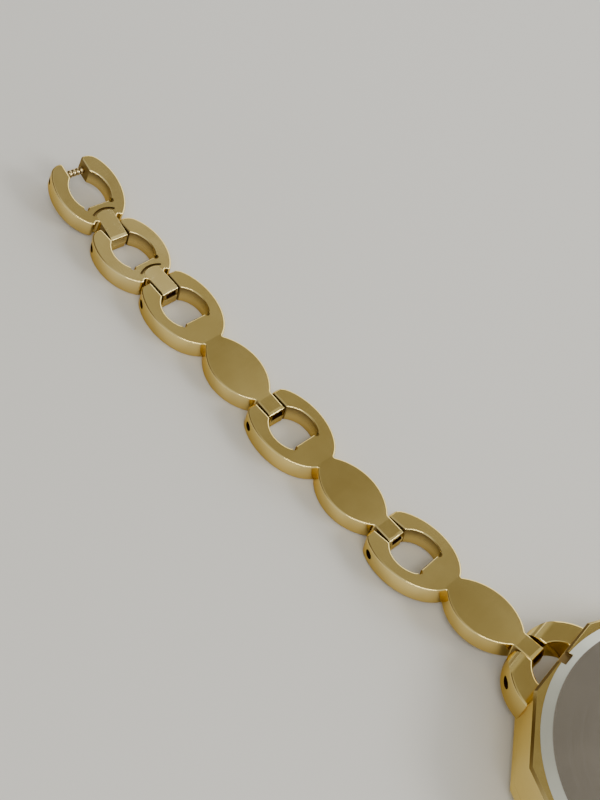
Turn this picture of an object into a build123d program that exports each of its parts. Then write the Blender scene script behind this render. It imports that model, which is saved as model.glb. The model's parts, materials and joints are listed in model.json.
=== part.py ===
from build123d import *
import os
from math import asin, cos, degrees, pi, radians, sin, sqrt

# Women's bracelet watch, laid face down. Millimetres, +Z up out of the case back.
# Origin: the case centre, on the plane of the bezel's front, which lies on the table.
# The free half of the bracelet runs to -X and the clasp half to +X.

# Fits and cuts
overrun = 1.0
pin_fit = 0.02
hinge_play = 0.10
seat_gap = 0.05
side_count = 12
half_turn = 180.0
quarter_turn = 90.0

# Bracelet links, seen from above: u runs from a link's prongs to its tongue
link_pitch = 16.5
short_pitch = 8.1
link_thick = 2.1
ring_half_width = 3.4
ring_half_length = 5.05
ring_middle = 2.7
short_ring_half_length = 4.6
short_ring_middle = 2.62
ring_wall = 1.24
short_ring_wall = 1.43
prong_reach = 1.3
short_prong_reach = 0.9
prong_round = 0.35
tongue_width = 1.84
tongue_side_play = 0.18
gap_width = tongue_width + 2 * tongue_side_play
gap_depth = 1.0
hole_middle = 3.0
hole_half_length = 2.53
hole_half_width = ring_half_width - ring_wall
short_hole_middle = 2.9
short_hole_half_length = 2.4
short_hole_half_width = ring_half_width - short_ring_wall
tab_edge = 4.6
tab_notch_radius = 0.2
tab_notch_offset = 1.45
belly_half_width = 2.53
belly_into_ring = 1.05
belly_tip_to_pin = 0.7
tongue_reach = 1.0
tongue_round = 0.55
tongue_root = 2.2
knuckle_trim = 0.3
link_bevel = 0.15
seam_length = 1.3
seam_low = -0.12
seam_high = 0.4
seam_depth = 0.3

# Folded clip of a short link, and the base that it grips
base_to_pin = 1.5
base_end = short_pitch - base_to_pin
base_notch_radius = 0.22
base_notch_offset = 1.25
clip_leaf_thick = 0.45
clip_leaf_length = 1.1
clip_leaf_start = base_end - clip_leaf_length
clip_leaf_arc = 1.6
clip_slot = 0.22

# Hinge pins
pin_radius = 0.42
pin_sink = 0.35
bore_radius = pin_radius + hinge_play
bar_radius = 0.3
bar_groove_count = 5
bar_groove_width = 0.14
bar_groove_depth = 0.06

# How the bracelet lies: height of each hinge and turn of each link in the plane
second_pin_height = 1.15
lift_of_end_link = 9.0
free_half_turns = (-5.1, -9.2, -11.4, -10.3, -16.0)

# Case
case_flat = 29.2
end_cut = 0.35
apothem = case_flat / 2
end_apothem = apothem - end_cut
bezel_height = 2.0
case_wall = 2.25
cavity_radius = end_apothem - case_wall
crystal_inset = 1.0
crystal_radius = cavity_radius - crystal_inset
crystal_ledge = 0.4
aperture_radius = crystal_radius - crystal_ledge
crystal_thick = 1.2
crystal_bevel = 0.25
gasket_recess = 0.3
gasket_thick = 0.4
bezel_bevel = 0.9
case_edge_round = 0.25
lug_reach = 2.25
lug_to_centre = end_apothem + lug_reach
lug_radius = 5.25
lug_middle = 3.66
lug_bottom = 1.25
lug_thick = 2.85
lug_top = lug_bottom + lug_thick
lug_pin_height = lug_bottom + lug_thick / 2
lug_hole_middle = 3.1
lug_hole_half_length = 2.7
lug_wall = 2.5
lug_hole_half_width = lug_radius - lug_wall
lug_root_depth = 0.8

# Case back
back_step = 0.31
back_radius = end_apothem - back_step
back_slope = 1.0
back_flat_radius = back_radius - back_slope
back_rise = 0.35
back_skirt_depth = 0.7
back_skirt_thick = 0.5
back_plate_thick = 0.55
back_gasket_width = 0.5
back_gasket_height = 0.4
pry_notch_width = 1.3
pry_notch_depth = 0.45

# Dial and hands, from the crystal upwards
dial_gap = 0.3
dial_radius = cavity_radius - dial_gap
dial_thick = 0.4
dial_hole_play = 0.17
dial_rise = 0.45
dial_seat = bezel_height + dial_rise
dial_back = dial_seat + dial_thick
marker_length = 1.8
marker_width = 0.5
marker_height = 0.18
marker_inset = 1.6
hand_thick = 0.1
second_level_gap = 0.2
minute_level_gap = 0.14
hour_level_gap = 0.18
second_level = crystal_thick + second_level_gap
minute_level = second_level + hand_thick + minute_level_gap
hour_level = minute_level + hand_thick + hour_level_gap
hour_hand_inset = 5.2
minute_hand_inset = 2.4
second_hand_inset = 1.8
hour_hand_length = aperture_radius - hour_hand_inset
minute_hand_length = aperture_radius - minute_hand_inset
second_hand_length = aperture_radius - second_hand_inset
second_tail_length = 2.4
hour_hand_width = 0.95
minute_hand_width = 0.75
second_hand_width = 0.18
hand_tip_share = 0.3
dial_minutes = 60
shown_hour = 10
shown_minute = 9
shown_second = 35
arbor_radius = 0.15
pipe_play = 0.06
cannon_bore_radius = arbor_radius + pipe_play
cannon_wall = 0.19
cannon_radius = cannon_bore_radius + cannon_wall
hour_bore_radius = cannon_radius + pipe_play
hour_pipe_wall = 0.22
hour_pipe_radius = hour_bore_radius + hour_pipe_wall
dial_hole_radius = hour_pipe_radius + dial_hole_play
hour_hub_radius = 1.05
minute_hub_radius = 0.75
second_hub_radius = 0.45

# Motion work: teeth of one module turn the hour pipe once for twelve turns of the cannon
tooth_module = 0.1
cannon_teeth = 10
minute_wheel_teeth = 30
minute_pinion_teeth = 8
hour_wheel_teeth = 32
second_wheel_teeth = 40
tooth_play = 0.03
wheel_thick = 0.15
wheel_gap = 0.1
recess_room = 0.15
hour_wheel_level = dial_back + wheel_gap
minute_wheel_level = hour_wheel_level + wheel_thick + wheel_gap
motion_recess_top = minute_wheel_level + wheel_thick + recess_room
post_radius = 0.12

# Movement
holder_play = 0.1
plate_radius = 9.0
holder_inner_radius = plate_radius + holder_play
holder_radius = cavity_radius - holder_play
plate_thick = 1.55
plate_top = dial_back + plate_thick
back_room = 1.5
case_top = plate_top + back_room
holder_top = case_top - back_skirt_depth - holder_play
train_recess_depth = 0.6
train_recess_floor = plate_top - train_recess_depth
second_wheel_level = train_recess_floor + recess_room
bridge_thick = 0.4
bridge_length = 7.6
bridge_width = 3.0
battery_radius = 2.9
battery_height = 1.9
battery_depth = 1.25
battery_floor = plate_top - battery_depth
battery_place = (-1.2, -5.45)
strap_thick = 0.15
strap_width = 2.0
strap_length = 8.4
coil_length = 6.0
coil_radius = 0.75
coil_cheek = 0.4
coil_cheek_rise = 0.15
coil_place = (-5.2, 3.6)
board_thick = 0.3
board_length = 7.0
board_width = 3.4
board_place = (0.6, 5.7)
chip_side = 1.5
chip_height = 0.35

# Crown, on the side of the third hour
crown_radius = 1.8
crown_length = 2.1
crown_gap = 0.15
stem_depth = 0.65
crown_height = plate_top - stem_depth
crown_tooth_count = 24
crown_tooth_radius = 0.16
crown_dome = 0.35
stem_radius = 0.4
stem_inner_end = 6.2
stem_neck_radius = 0.22
stem_play = 0.06
tube_radius = 0.95
tube_standout = 0.5
lever_length = 0.6
lever_width = 2.0
lever_height = 1.1
lever_place = 7.0
lever_play = 0.06
setting_travel = 0.6

# Folding clasp
cover_half_width = 3.0
cover_floor = 0.45
cover_wall = 0.5
cover_start = 1.55
cover_hinge = 16.0
cover_beyond_hinge = 1.0
cover_length = cover_hinge + cover_beyond_hinge
cover_hinge_rise = 0.2
cover_corner = 0.6
blade_side_play = 0.3
blade_half_width = cover_half_width - cover_wall - blade_side_play
blade_thick = 0.5
blade_end = 3.0
blade_pin_radius = 0.3
blade_eye_wall = 0.35
blade_eye_radius = blade_pin_radius + blade_eye_wall
hook_start = 4.2
hook_base_length = 2.6
hook_side_play = 0.2
hook_width = gap_width - 2 * hook_side_play
hook_thick = 0.35
hook_play = 0.12
hook_inner_radius = bar_radius + hook_play
stud_radius = 0.55
stud_play = 0.15
stud_place = 9.5
rivet_radius = 0.3
rivet_spacing = 1.1

half_thick = link_thick / 2
slice_turn = 2 * half_turn / side_count
mesh_distance = tooth_module * (cannon_teeth + minute_wheel_teeth) / 2

os.makedirs("parts", exist_ok=True)


def save(name, *solids):
    """Write one node, whose label is its file's name."""
    node = Compound(children=[solid for piece in solids for solid in piece.solids()])
    node.label = name
    export_step(node, f"parts/{name}.step")


def slab(face, low, high):
    """A flat outline raised from one height to another."""
    return extrude(Pos(0, 0, low) * face, amount=high - low)


def span(u0, u1, v0, v1, low, high):
    """A block between two places along each axis."""
    middle = Pos((u0 + u1) / 2, (v0 + v1) / 2, (low + high) / 2)
    return middle * Box(u1 - u0, v1 - v0, high - low)


def cross_rod(u, height, radius, length):
    """A round rod that lies across the bracelet."""
    return Pos(u, 0, height) * Rot(quarter_turn, 0, 0) * Cylinder(radius, length)


def disc(radius, low, high):
    """A round plate on the case's axis."""
    return Pos(0, 0, (low + high) / 2) * Cylinder(radius, high - low)


def collar(outer, inner, low, high):
    """A round ring on the case's axis."""
    return disc(outer, low, high) - disc(inner, low - overrun, high + overrun)


def along_y(radius, low, high):
    """A round rod on the crown's axis."""
    rod = Rot(quarter_turn, 0, 0) * Cylinder(radius, high - low)
    return Pos(0, (low + high) / 2, crown_height) * rod


def beyond(u, reach):
    """A flat area that covers all beyond a line across a link."""
    return Pos(u + reach / 2, 0) * Rectangle(reach, 4 * ring_half_width)


def near_line(shape, u):
    """The corners of a flat outline that lie on a line across it."""
    close = seat_gap / 2
    return shape.vertices().filter_by_position(Axis.X, u - close, u + close)


def ring_outline(middle, half_length, reach):
    """Oval ring's outer edge, cut square at the tips of its prongs, with rounded tips."""
    oval = Pos(middle, 0) * Ellipse(half_length, ring_half_width)
    return oval - beyond(-reach - link_pitch, link_pitch)


def ring_hole(middle, half_length, half_width, reach):
    """Oval hole that ends at the tab, open to the prongs through the tongue's gap."""
    oval = Pos(middle, 0) * Ellipse(half_length, half_width)
    hole = oval - beyond(tab_edge, link_pitch)
    gap = Pos((gap_depth - reach - overrun) / 2, 0) * Rectangle(gap_depth + reach + overrun, gap_width)
    return hole + gap


def tab_notches():
    """Two small notches, right through, at the ends of the tab's edge."""
    notches = Pos(tab_edge, tab_notch_offset, 0) * Cylinder(tab_notch_radius, link_thick + overrun)
    return notches + Pos(tab_edge, -tab_notch_offset, 0) * Cylinder(tab_notch_radius, link_thick + overrun)


def rounded_prongs(solid, reach):
    """Prong tips turned round about their pin, so that the next link can fold past them."""
    knuckle = sqrt(reach**2 + half_thick**2) - knuckle_trim
    nose = cross_rod(0, 0, knuckle, 4 * ring_half_width)
    body = span(0, link_pitch + overrun, -2 * ring_half_width, 2 * ring_half_width, -link_thick, link_thick)
    return solid & (nose + body)


def rolled_tongue(start, pitch):
    """Flat tongue, flush with its link, folded round the next link's pin."""
    end = pitch + tongue_reach
    bar = span(start, end, -tongue_width / 2, tongue_width / 2, -half_thick, half_thick)
    bar = fillet(bar.faces().sort_by(Axis.X)[-1].edges().filter_by(Axis.Y), tongue_round)
    return bar - cross_rod(pitch, 0, bore_radius, tongue_width + overrun)


def roll_seam(pitch):
    """The open seam of the fold, in a tongue's end face."""
    end = pitch + tongue_reach
    return span(end - seam_depth, end + overrun, -seam_length / 2, seam_length / 2, seam_low, seam_high)


def bevelled_plate(outline):
    """A link's plate, with both of its flat faces bevelled all round."""
    plate = slab(outline, -half_thick, half_thick)
    layers = plate.faces().sort_by(Axis.Z)
    edges = ShapeList([*layers[0].edges(), *layers[-1].edges()])
    return chamfer(edges, link_bevel)


def leaf_outline():
    """Leaf-shaped belly between two arcs, from inside the ring's end to near the next pin."""
    start = ring_middle + ring_half_length - belly_into_ring
    end = link_pitch - belly_tip_to_pin
    half_length = (end - start) / 2
    radius = (half_length**2 + belly_half_width**2) / (2 * belly_half_width)
    offset = radius - belly_half_width
    arcs = [Pos((start + end) / 2, side * offset) * Circle(radius) for side in (-1, 1)]
    return arcs[0] & arcs[1]


def long_link():
    """One-piece link: open ring, narrow neck, leaf-shaped belly and folded tongue."""
    ring = ring_outline(ring_middle, ring_half_length, prong_reach)
    leaf = leaf_outline() - beyond(link_pitch - tongue_reach - knuckle_trim, link_pitch)
    outline = ring + leaf
    outline -= ring_hole(hole_middle, hole_half_length, hole_half_width, prong_reach)
    outline = fillet(near_line(outline, -prong_reach), prong_round)
    plate = rounded_prongs(bevelled_plate(outline), prong_reach) - tab_notches()
    link = plate + rolled_tongue(link_pitch - tongue_root, link_pitch) - roll_seam(link_pitch)
    return link - cross_rod(0, 0, pin_radius + pin_fit, 4 * ring_half_width)


def short_ring_outline():
    """A short link's outline: oval ring with a straight base that has two small notches."""
    ring = ring_outline(short_ring_middle, short_ring_half_length, short_prong_reach)
    ring -= beyond(base_end, link_pitch)
    for side in (-1, 1):
        ring -= Pos(base_end, side * base_notch_offset) * Circle(base_notch_radius)
    ring -= ring_hole(short_hole_middle, short_hole_half_length, short_hole_half_width, short_prong_reach)
    return fillet(near_line(ring, -short_prong_reach), prong_round)


def short_link(hole_radius):
    """Short link: open ring whose base is gripped by a folded clip."""
    plate = rounded_prongs(bevelled_plate(short_ring_outline()), short_prong_reach) - tab_notches()
    pocket = clip_leaf_outline(clip_slot)
    leaf_inside = half_thick - clip_leaf_thick
    plate -= slab(pocket, leaf_inside, link_thick)
    plate -= slab(pocket, -link_thick, -leaf_inside)
    return plate - cross_rod(0, 0, hole_radius, 4 * ring_half_width)


def clip_leaf_outline(slack):
    """A clip's leaf from above: an arched end and straight sides, larger by some slack."""
    width = tongue_width + 2 * min(slack, seat_gap)
    start = clip_leaf_start - slack
    strip = Pos((start + short_pitch) / 2, 0) * Rectangle(short_pitch - start, width)
    arch = Pos(start + clip_leaf_arc, 0) * Circle(clip_leaf_arc)
    return strip & (arch + beyond(start + clip_leaf_arc, link_pitch))


def clip():
    """Folded clip: two leaves that grip a short link's base, and a tongue to the next pin."""
    leaf = clip_leaf_outline(0)
    leaf_inside = half_thick - clip_leaf_thick
    upper = slab(leaf, leaf_inside, half_thick)
    lower = slab(leaf, -half_thick, -leaf_inside)
    bore = cross_rod(short_pitch, 0, bore_radius, tongue_width + overrun)
    return rolled_tongue(base_end, short_pitch) + upper + lower - bore


def hinge_pin(half_length):
    """Plain pin, pressed into two prongs and sunk a little below their sides."""
    return cross_rod(0, 0, pin_radius, 2 * (half_length - pin_sink))


def hook_bar():
    """Grooved bar between the end link's prong tips, for the clasp's hook."""
    tip_half_width = ring_half_width * sqrt(1 - (short_ring_middle / short_ring_half_length) ** 2)
    bar = cross_rod(0, 0, bar_radius, 2 * (tip_half_width - pin_sink))
    step = gap_width / (bar_groove_count + 1)
    for number in range(bar_groove_count):
        place = step * (number + 1) - gap_width / 2
        groove = cross_rod(0, 0, bar_radius + overrun, bar_groove_width)
        groove -= cross_rod(0, 0, bar_radius - bar_groove_depth, bar_groove_width + overrun)
        bar -= Pos(0, place, 0) * groove
    return bar


def place(hinge, turn, rise):
    """Frame of a link: origin at its prongs' pin, u towards the case, given turn and rise."""
    u = (cos(radians(turn)) * cos(radians(rise)), sin(radians(turn)) * cos(radians(rise)), sin(radians(rise)))
    return Plane(origin=hinge, x_dir=u, z_dir=Vector(*u).cross(Vector(-u[1], u[0], 0)))


def chain(start, pitches, turns, heights):
    """Frames of links hung one from another, and the hinge where each one ends."""
    frames = []
    hinge = start
    for pitch, turn, height in zip(pitches, turns, heights):
        rise = degrees(asin((hinge[2] - height) / pitch))
        reach = pitch * cos(radians(rise))
        hinge = (hinge[0] - reach * cos(radians(turn)), hinge[1] - reach * sin(radians(turn)), height)
        frames.append(place(hinge, turn, rise))
    return frames


def ring_half_width_at(u, middle, half_length):
    """How far the ring's outer edge stands from its middle line at one place."""
    return ring_half_width * sqrt(1 - ((u - middle) / half_length) ** 2)


def case_outline(reduce):
    """Twelve-sided outline with its two end flats cut in for the lugs."""
    corner = (apothem - reduce) / cos(radians(slice_turn / 2))
    twelve = Rot(0, 0, slice_turn / 2) * RegularPolygon(corner, side_count)
    return twelve & Rectangle(2 * (end_apothem - reduce), 2 * case_flat)


def case_body():
    """Middle of the case: a twelve-sided ring with the crown's bore and a seat for each lug."""
    body = slab(case_outline(0), bezel_height, case_top)
    body = chamfer(body.faces().sort_by(Axis.Z)[-1].outer_wire().edges(), case_edge_round)
    body -= disc(cavity_radius, bezel_height - overrun, case_top + overrun)
    groove_low = case_top - back_gasket_height
    body -= disc(cavity_radius + back_gasket_width, groove_low, case_top + overrun)
    body -= along_y(tube_radius, cavity_radius - overrun, case_flat)
    seat = Pos(-lug_to_centre, 0, 0) * lug()
    return body - seat - Rot(0, 0, half_turn) * seat - pry_notch()


def pry_notch():
    """Small slot between case and back, towards the free half, for a case knife."""
    half = pry_notch_width / 2
    low = case_top - pry_notch_depth / 2
    return span(-end_apothem - overrun, pry_notch_depth - back_radius, -half, half, low, case_top + back_rise)


def bezel():
    """Front ring: bevelled sides, a seat for the crystal and a rim that carries the dial."""
    ring = slab(case_outline(0), 0, bezel_height)
    ring = chamfer(ring.faces().sort_by(Axis.Z)[0].outer_wire().edges(), bezel_bevel)
    ring += disc(cavity_radius, bezel_height, dial_seat)
    seat = Pos(-lug_to_centre, 0, 0) * lug()
    ring -= seat + Rot(0, 0, half_turn) * seat
    ring -= disc(crystal_radius + gasket_thick, -overrun, crystal_thick)
    return ring - disc(aperture_radius, -overrun, dial_seat + overrun)


def lug():
    """Wide horseshoe rooted in the case's end flat, whose prongs hold the first link's tongue."""
    root_line = lug_to_centre - end_apothem
    outline = Pos(lug_middle, 0) * Circle(lug_radius)
    outline -= beyond(-prong_reach - link_pitch, link_pitch)
    outline -= beyond(root_line + lug_root_depth, link_pitch)
    far = prong_reach + overrun
    gap = Pos((gap_depth - far) / 2, 0) * Rectangle(gap_depth + far, gap_width)
    hole = Pos(lug_hole_middle, 0) * Ellipse(lug_hole_half_length, lug_hole_half_width)
    outline -= gap + (hole - beyond(root_line, link_pitch))
    outline = fillet(near_line(outline, -prong_reach), prong_round)
    horseshoe = slab(outline, lug_bottom, lug_top)
    layers = horseshoe.faces().sort_by(Axis.Z)
    horseshoe = chamfer(ShapeList([*layers[0].edges(), *layers[-1].edges()]), link_bevel)
    knuckle = (lug_top - lug_bottom) / 2
    nose = cross_rod(knuckle - prong_reach, (lug_top + lug_bottom) / 2, knuckle, 4 * lug_radius)
    root = span(knuckle - prong_reach, lug_to_centre, -2 * lug_radius, 2 * lug_radius, 0, case_top)
    horseshoe &= nose + root
    return horseshoe - cross_rod(0, lug_pin_height, pin_radius + pin_fit, 4 * lug_radius)


def case_back():
    """Snap-on back: flat centre, sloping rim, and a skirt that grips inside the case."""
    top = case_top + back_rise
    rim = Pos(0, 0, case_top + back_rise / 2) * Cone(back_radius, back_flat_radius, back_rise)
    plate = disc(cavity_radius - seat_gap, top - back_plate_thick, case_top)
    skirt = collar(
        cavity_radius - seat_gap,
        cavity_radius - seat_gap - back_skirt_thick,
        case_top - back_skirt_depth,
        case_top,
    )
    return rim + plate + skirt - pry_notch()


def hour_markers():
    """Twelve batons round the dial's edge, on the side that faces the crystal."""
    batons = []
    radius = dial_radius - marker_inset
    for hour in range(side_count):
        baton = span(
            radius - marker_length,
            radius,
            -marker_width / 2,
            marker_width / 2,
            dial_seat - marker_height,
            dial_seat,
        )
        batons.append(Rot(0, 0, hour * slice_turn) * baton)
    return batons


def hand(length, tail, width, hub_radius, bore_radius, low):
    """A leaf-shaped hand with a hub and a bore, which points to +X."""
    tip = width * hand_tip_share
    corners = ((-tail, -width / 2), (length, -tip / 2), (length, tip / 2), (-tail, width / 2))
    outline = Polygon(*corners, align=None) + Circle(hub_radius) - Circle(bore_radius)
    return slab(outline, low, low + hand_thick)


def toothed_wheel(teeth, turn):
    """Flat outline of a small wheel: one wedge for each tooth on a root disc."""
    pitch_radius = tooth_module * teeth / 2
    root_radius = pitch_radius - tooth_module - tooth_play
    tip_radius = pitch_radius + tooth_module - tooth_play
    half_root = tooth_module * (pi / 4)
    half_tip = half_root / 2 - tooth_play
    inside = root_radius - tooth_module / 2
    wedge = Polygon(
        (inside, -half_root),
        (tip_radius, -half_tip),
        (tip_radius, half_tip),
        (inside, half_root),
        align=None,
    )
    outline = Circle(root_radius)
    step = 2 * half_turn / teeth
    wedges = [Rot(0, 0, turn + number * step) * wedge for number in range(teeth)]
    return outline + wedges


def cannon_pinion():
    """Tube that carries the minute hand, with the pinion that drives the minute wheel."""
    top = minute_wheel_level + wheel_thick
    tube = disc(cannon_radius, minute_level, top)
    pinion = slab(toothed_wheel(cannon_teeth, 0), minute_wheel_level, top)
    return tube + pinion - disc(cannon_bore_radius, 0, case_top)


def hour_wheel():
    """Wheel on a pipe that carries the hour hand."""
    top = hour_wheel_level + wheel_thick
    half_step = half_turn / hour_wheel_teeth
    wheel = slab(toothed_wheel(hour_wheel_teeth, half_step), hour_wheel_level, top)
    pipe = disc(hour_pipe_radius, hour_level, top)
    return wheel + pipe - disc(hour_bore_radius, 0, case_top)


def minute_wheel():
    """Intermediate wheel and its pinion, between the cannon and the hour wheel."""
    top = minute_wheel_level + wheel_thick
    half_step = half_turn / minute_wheel_teeth
    wheel = slab(toothed_wheel(minute_wheel_teeth, half_turn + half_step), minute_wheel_level, top)
    pinion = toothed_wheel(minute_pinion_teeth, half_turn)
    wheel += slab(pinion, hour_wheel_level - seat_gap, minute_wheel_level)
    wheel -= disc(post_radius + hinge_play / 2, 0, case_top)
    return Pos(mesh_distance, 0, 0) * wheel


def seconds_wheel():
    """Arbor of the seconds hand with its wheel."""
    arbor = disc(arbor_radius, second_level, plate_top + bridge_thick - seat_gap)
    outline = toothed_wheel(second_wheel_teeth, 0)
    return arbor + slab(outline, second_wheel_level, second_wheel_level + wheel_thick)


def main_plate():
    """Movement's base plate with its recesses, the minute wheel's post and the stem's bore."""
    floor = dial_back
    plate = disc(plate_radius, floor, plate_top)
    hour_room = tooth_module * (hour_wheel_teeth / 2 + 2) + hinge_play
    wheel_room = tooth_module * (minute_wheel_teeth / 2 + 2) + hinge_play
    train_room = tooth_module * (second_wheel_teeth / 2 + 2) + hinge_play
    plate -= disc(hour_room, floor - overrun, motion_recess_top)
    plate -= Pos(mesh_distance, 0, 0) * disc(wheel_room, floor - overrun, motion_recess_top)
    plate += Pos(mesh_distance, 0, 0) * disc(post_radius, hour_wheel_level, motion_recess_top)
    plate -= disc(train_room, train_recess_floor, plate_top + overrun)
    plate -= disc(arbor_radius + hinge_play, floor - overrun, plate_top + overrun)
    battery_x, battery_y = battery_place
    cell_room = disc(battery_radius + hinge_play, battery_floor, plate_top + overrun)
    plate -= Pos(battery_x, battery_y, 0) * cell_room
    coil_x, coil_y = coil_place
    reach = coil_length / 2 + hinge_play
    plate -= span(
        coil_x - coil_radius - hinge_play,
        coil_x + coil_radius + hinge_play,
        coil_y - reach,
        coil_y + reach,
        plate_top - 2 * coil_radius,
        plate_top + overrun,
    )
    plate -= stem_bore()
    return plate


def stem_bore():
    """Bore for the stem from the plate's edge, and the open pocket of the setting lever."""
    bore = along_y(stem_radius + stem_play, stem_inner_end - hinge_play, plate_radius + overrun)
    half = lever_width / 2 + lever_play
    far = lever_place + lever_length + setting_travel + lever_play
    floor = crown_height - lever_height / 2 - lever_play
    return bore + span(-half, half, lever_place - lever_play, far, floor, plate_top + overrun)


def movement_holder():
    """Plastic ring that centres the movement in the case."""
    ring = collar(holder_radius, holder_inner_radius, dial_back, holder_top)
    return ring - along_y(stem_radius + hinge_play, holder_inner_radius - overrun, holder_radius + overrun)


def train_bridge():
    """Bridge over the seconds wheel, with the arbor's upper bearing."""
    half_length = bridge_length / 2
    half_width = bridge_width / 2
    top = plate_top + bridge_thick
    plate = span(-half_length, half_length, -half_width, half_width, plate_top, top)
    return plate - disc(arbor_radius + hinge_play / 2, 0, case_top)


def coil():
    """Wound bobbin of the stepping motor: winding between two cheeks, one solid."""
    winding = Rot(quarter_turn, 0, 0) * Cylinder(coil_radius - coil_cheek_rise, coil_length)
    cheek = Rot(quarter_turn, 0, 0) * Cylinder(coil_radius, coil_cheek)
    for side in (-1, 1):
        winding += Pos(0, side * (coil_length - coil_cheek) / 2, 0) * cheek
    coil_x, coil_y = coil_place
    return Pos(coil_x, coil_y, plate_top - coil_radius) * winding


def circuit_board():
    """Thin board on the plate with its chip."""
    board_x, board_y = board_place
    half_length = board_length / 2
    half_width = board_width / 2
    half_chip = chip_side / 2
    top = plate_top + board_thick
    board = span(-half_length, half_length, -half_width, half_width, plate_top, top)
    board += span(-half_chip, half_chip, -half_chip, half_chip, top, top + chip_height)
    return Pos(board_x, board_y, 0) * board


def battery():
    """Button cell in its pocket."""
    battery_x, battery_y = battery_place
    return Pos(battery_x, battery_y, 0) * disc(battery_radius, battery_floor, battery_floor + battery_height)


def battery_strap():
    """Spring strap over the cell, which turns down to the plate at both ends."""
    low = battery_floor + battery_height
    half_length = strap_length / 2
    half_width = strap_width / 2
    strap = span(-half_length, half_length, -half_width, half_width, low, low + strap_thick)
    foot = span(half_length - strap_thick, half_length, -half_width, half_width, plate_top, low)
    battery_x, battery_y = battery_place
    return Pos(battery_x, battery_y, 0) * (strap + foot + mirror(foot, Plane.YZ))


def crown():
    """Fluted crown with a domed end and a recess for its tube."""
    start = apothem + crown_gap
    end = start + crown_length
    body = along_y(crown_radius, start, end)
    body = chamfer(body.faces().sort_by(Axis.Y)[-1].edges(), crown_dome)
    flute = along_y(crown_tooth_radius, start - overrun, end - crown_dome)
    for number in range(crown_tooth_count):
        turn = number * 2 * pi / crown_tooth_count
        body -= Pos(crown_radius * cos(turn), 0, crown_radius * sin(turn)) * flute
    body -= along_y(tube_radius + hinge_play, start - overrun, apothem + tube_standout + crown_gap)
    return body - along_y(stem_radius, start, end - crown_dome)


def crown_stem():
    """Stem from the movement to the crown, with a neck in the setting lever's fork."""
    rod = along_y(stem_radius, stem_inner_end, apothem + crown_gap + crown_length - crown_dome)
    neck_start = lever_place - lever_play
    neck_end = lever_place + lever_length + lever_play
    waste = along_y(stem_radius + overrun, neck_start, neck_end)
    return rod - (waste - along_y(stem_neck_radius, neck_start, neck_end))


def setting_lever():
    """Small fork round the stem's neck, which moves with the stem when the crown is pulled."""
    half_width = lever_width / 2
    half_height = lever_height / 2
    end = lever_place + lever_length
    low = crown_height - half_height
    high = crown_height + half_height
    fork = span(-half_width, half_width, lever_place, end, low, high)
    fork -= along_y(stem_neck_radius + lever_play, lever_place - overrun, end + overrun)
    slot = stem_neck_radius + lever_play
    return fork - span(-slot, slot, lever_place - overrun, end + overrun, crown_height, high + overrun)


def clasp_cover():
    """Outer leaf of the clasp: a channel with a tongue to the short link."""
    floor_low = -half_thick
    shell = span(cover_start, cover_length, -cover_half_width, cover_half_width, floor_low, half_thick)
    shell = fillet(shell.edges().filter_by(Axis.Z), cover_corner)
    shell -= span(
        cover_start + cover_wall,
        cover_length + overrun,
        cover_wall - cover_half_width,
        cover_half_width - cover_wall,
        floor_low + cover_floor,
        half_thick + overrun,
    )
    shell += Rot(0, 0, half_turn) * rolled_tongue(-cover_start - cover_wall / 2, 0)
    return shell - cross_rod(cover_hinge, cover_hinge_rise, blade_pin_radius + pin_fit, 4 * cover_half_width)


def clasp_blade():
    """Inner leaf, folded back over the cover, with a hole for the catch."""
    low = cover_hinge_rise - blade_thick / 2
    leaf = span(blade_end, cover_hinge, -blade_half_width, blade_half_width, low, low + blade_thick)
    leaf += cross_rod(cover_hinge, cover_hinge_rise, blade_eye_radius, 2 * blade_half_width)
    leaf -= Pos(stud_place, 0, 0) * Cylinder(stud_radius + stud_play, link_thick)
    for side in (-1, 1):
        rivet = Pos(hook_start + hook_base_length / 2, side * rivet_spacing / 2, 0)
        leaf -= rivet * Cylinder(rivet_radius, link_thick)
    bore = blade_pin_radius + hinge_play / 2
    return leaf - cross_rod(cover_hinge, cover_hinge_rise, bore, 4 * cover_half_width)


def clasp_hook():
    """Curled hook for the free half's bar, on a base that two rivets hold."""
    low = cover_hinge_rise + blade_thick / 2
    top = low + hook_thick
    outer = hook_inner_radius + hook_thick
    curl_height = low + outer
    end = hook_start + hook_base_length
    base = span(hook_start, end, -hook_width / 2, hook_width / 2, low, top)
    curl = cross_rod(hook_start, curl_height, outer, hook_width)
    curl -= cross_rod(hook_start, curl_height, hook_inner_radius, hook_width + overrun)
    mouth = span(hook_start - 2 * outer, hook_start, -hook_width, hook_width, top, curl_height)
    hook = base + (curl - mouth)
    for side in (-1, 1):
        rivet = Pos(hook_start + hook_base_length / 2, side * rivet_spacing / 2, low - blade_thick / 2)
        hook += rivet * Cylinder(rivet_radius, blade_thick)
    return hook


def catch_stud():
    """Post on the cover's floor that clicks into the blade's hole."""
    low = cover_floor - half_thick
    high = cover_hinge_rise + blade_thick / 2
    return Pos(stud_place, 0, (low + high) / 2) * Cylinder(stud_radius, high - low)


# Case group
save("case_body", case_body())
save("bezel", bezel())
crystal = disc(crystal_radius, 0, crystal_thick)
save("crystal", chamfer(crystal.faces().sort_by(Axis.Z)[0].edges(), crystal_bevel))
save("crystal_gasket", collar(crystal_radius + gasket_thick, crystal_radius, gasket_recess, crystal_thick))
dial = disc(dial_radius, dial_seat, dial_back) - disc(dial_hole_radius, 0, case_top)
save("dial", dial)
save("hour_markers", *hour_markers())
save("case_back", case_back())
back_groove = case_top - back_gasket_height
save("back_gasket", collar(cavity_radius + back_gasket_width, cavity_radius, back_groove, case_top))
free_lug = Pos(-lug_to_centre, 0, 0) * lug()
save("free_side_lug", free_lug)
save("clasp_side_lug", Rot(0, 0, half_turn) * free_lug)

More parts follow.
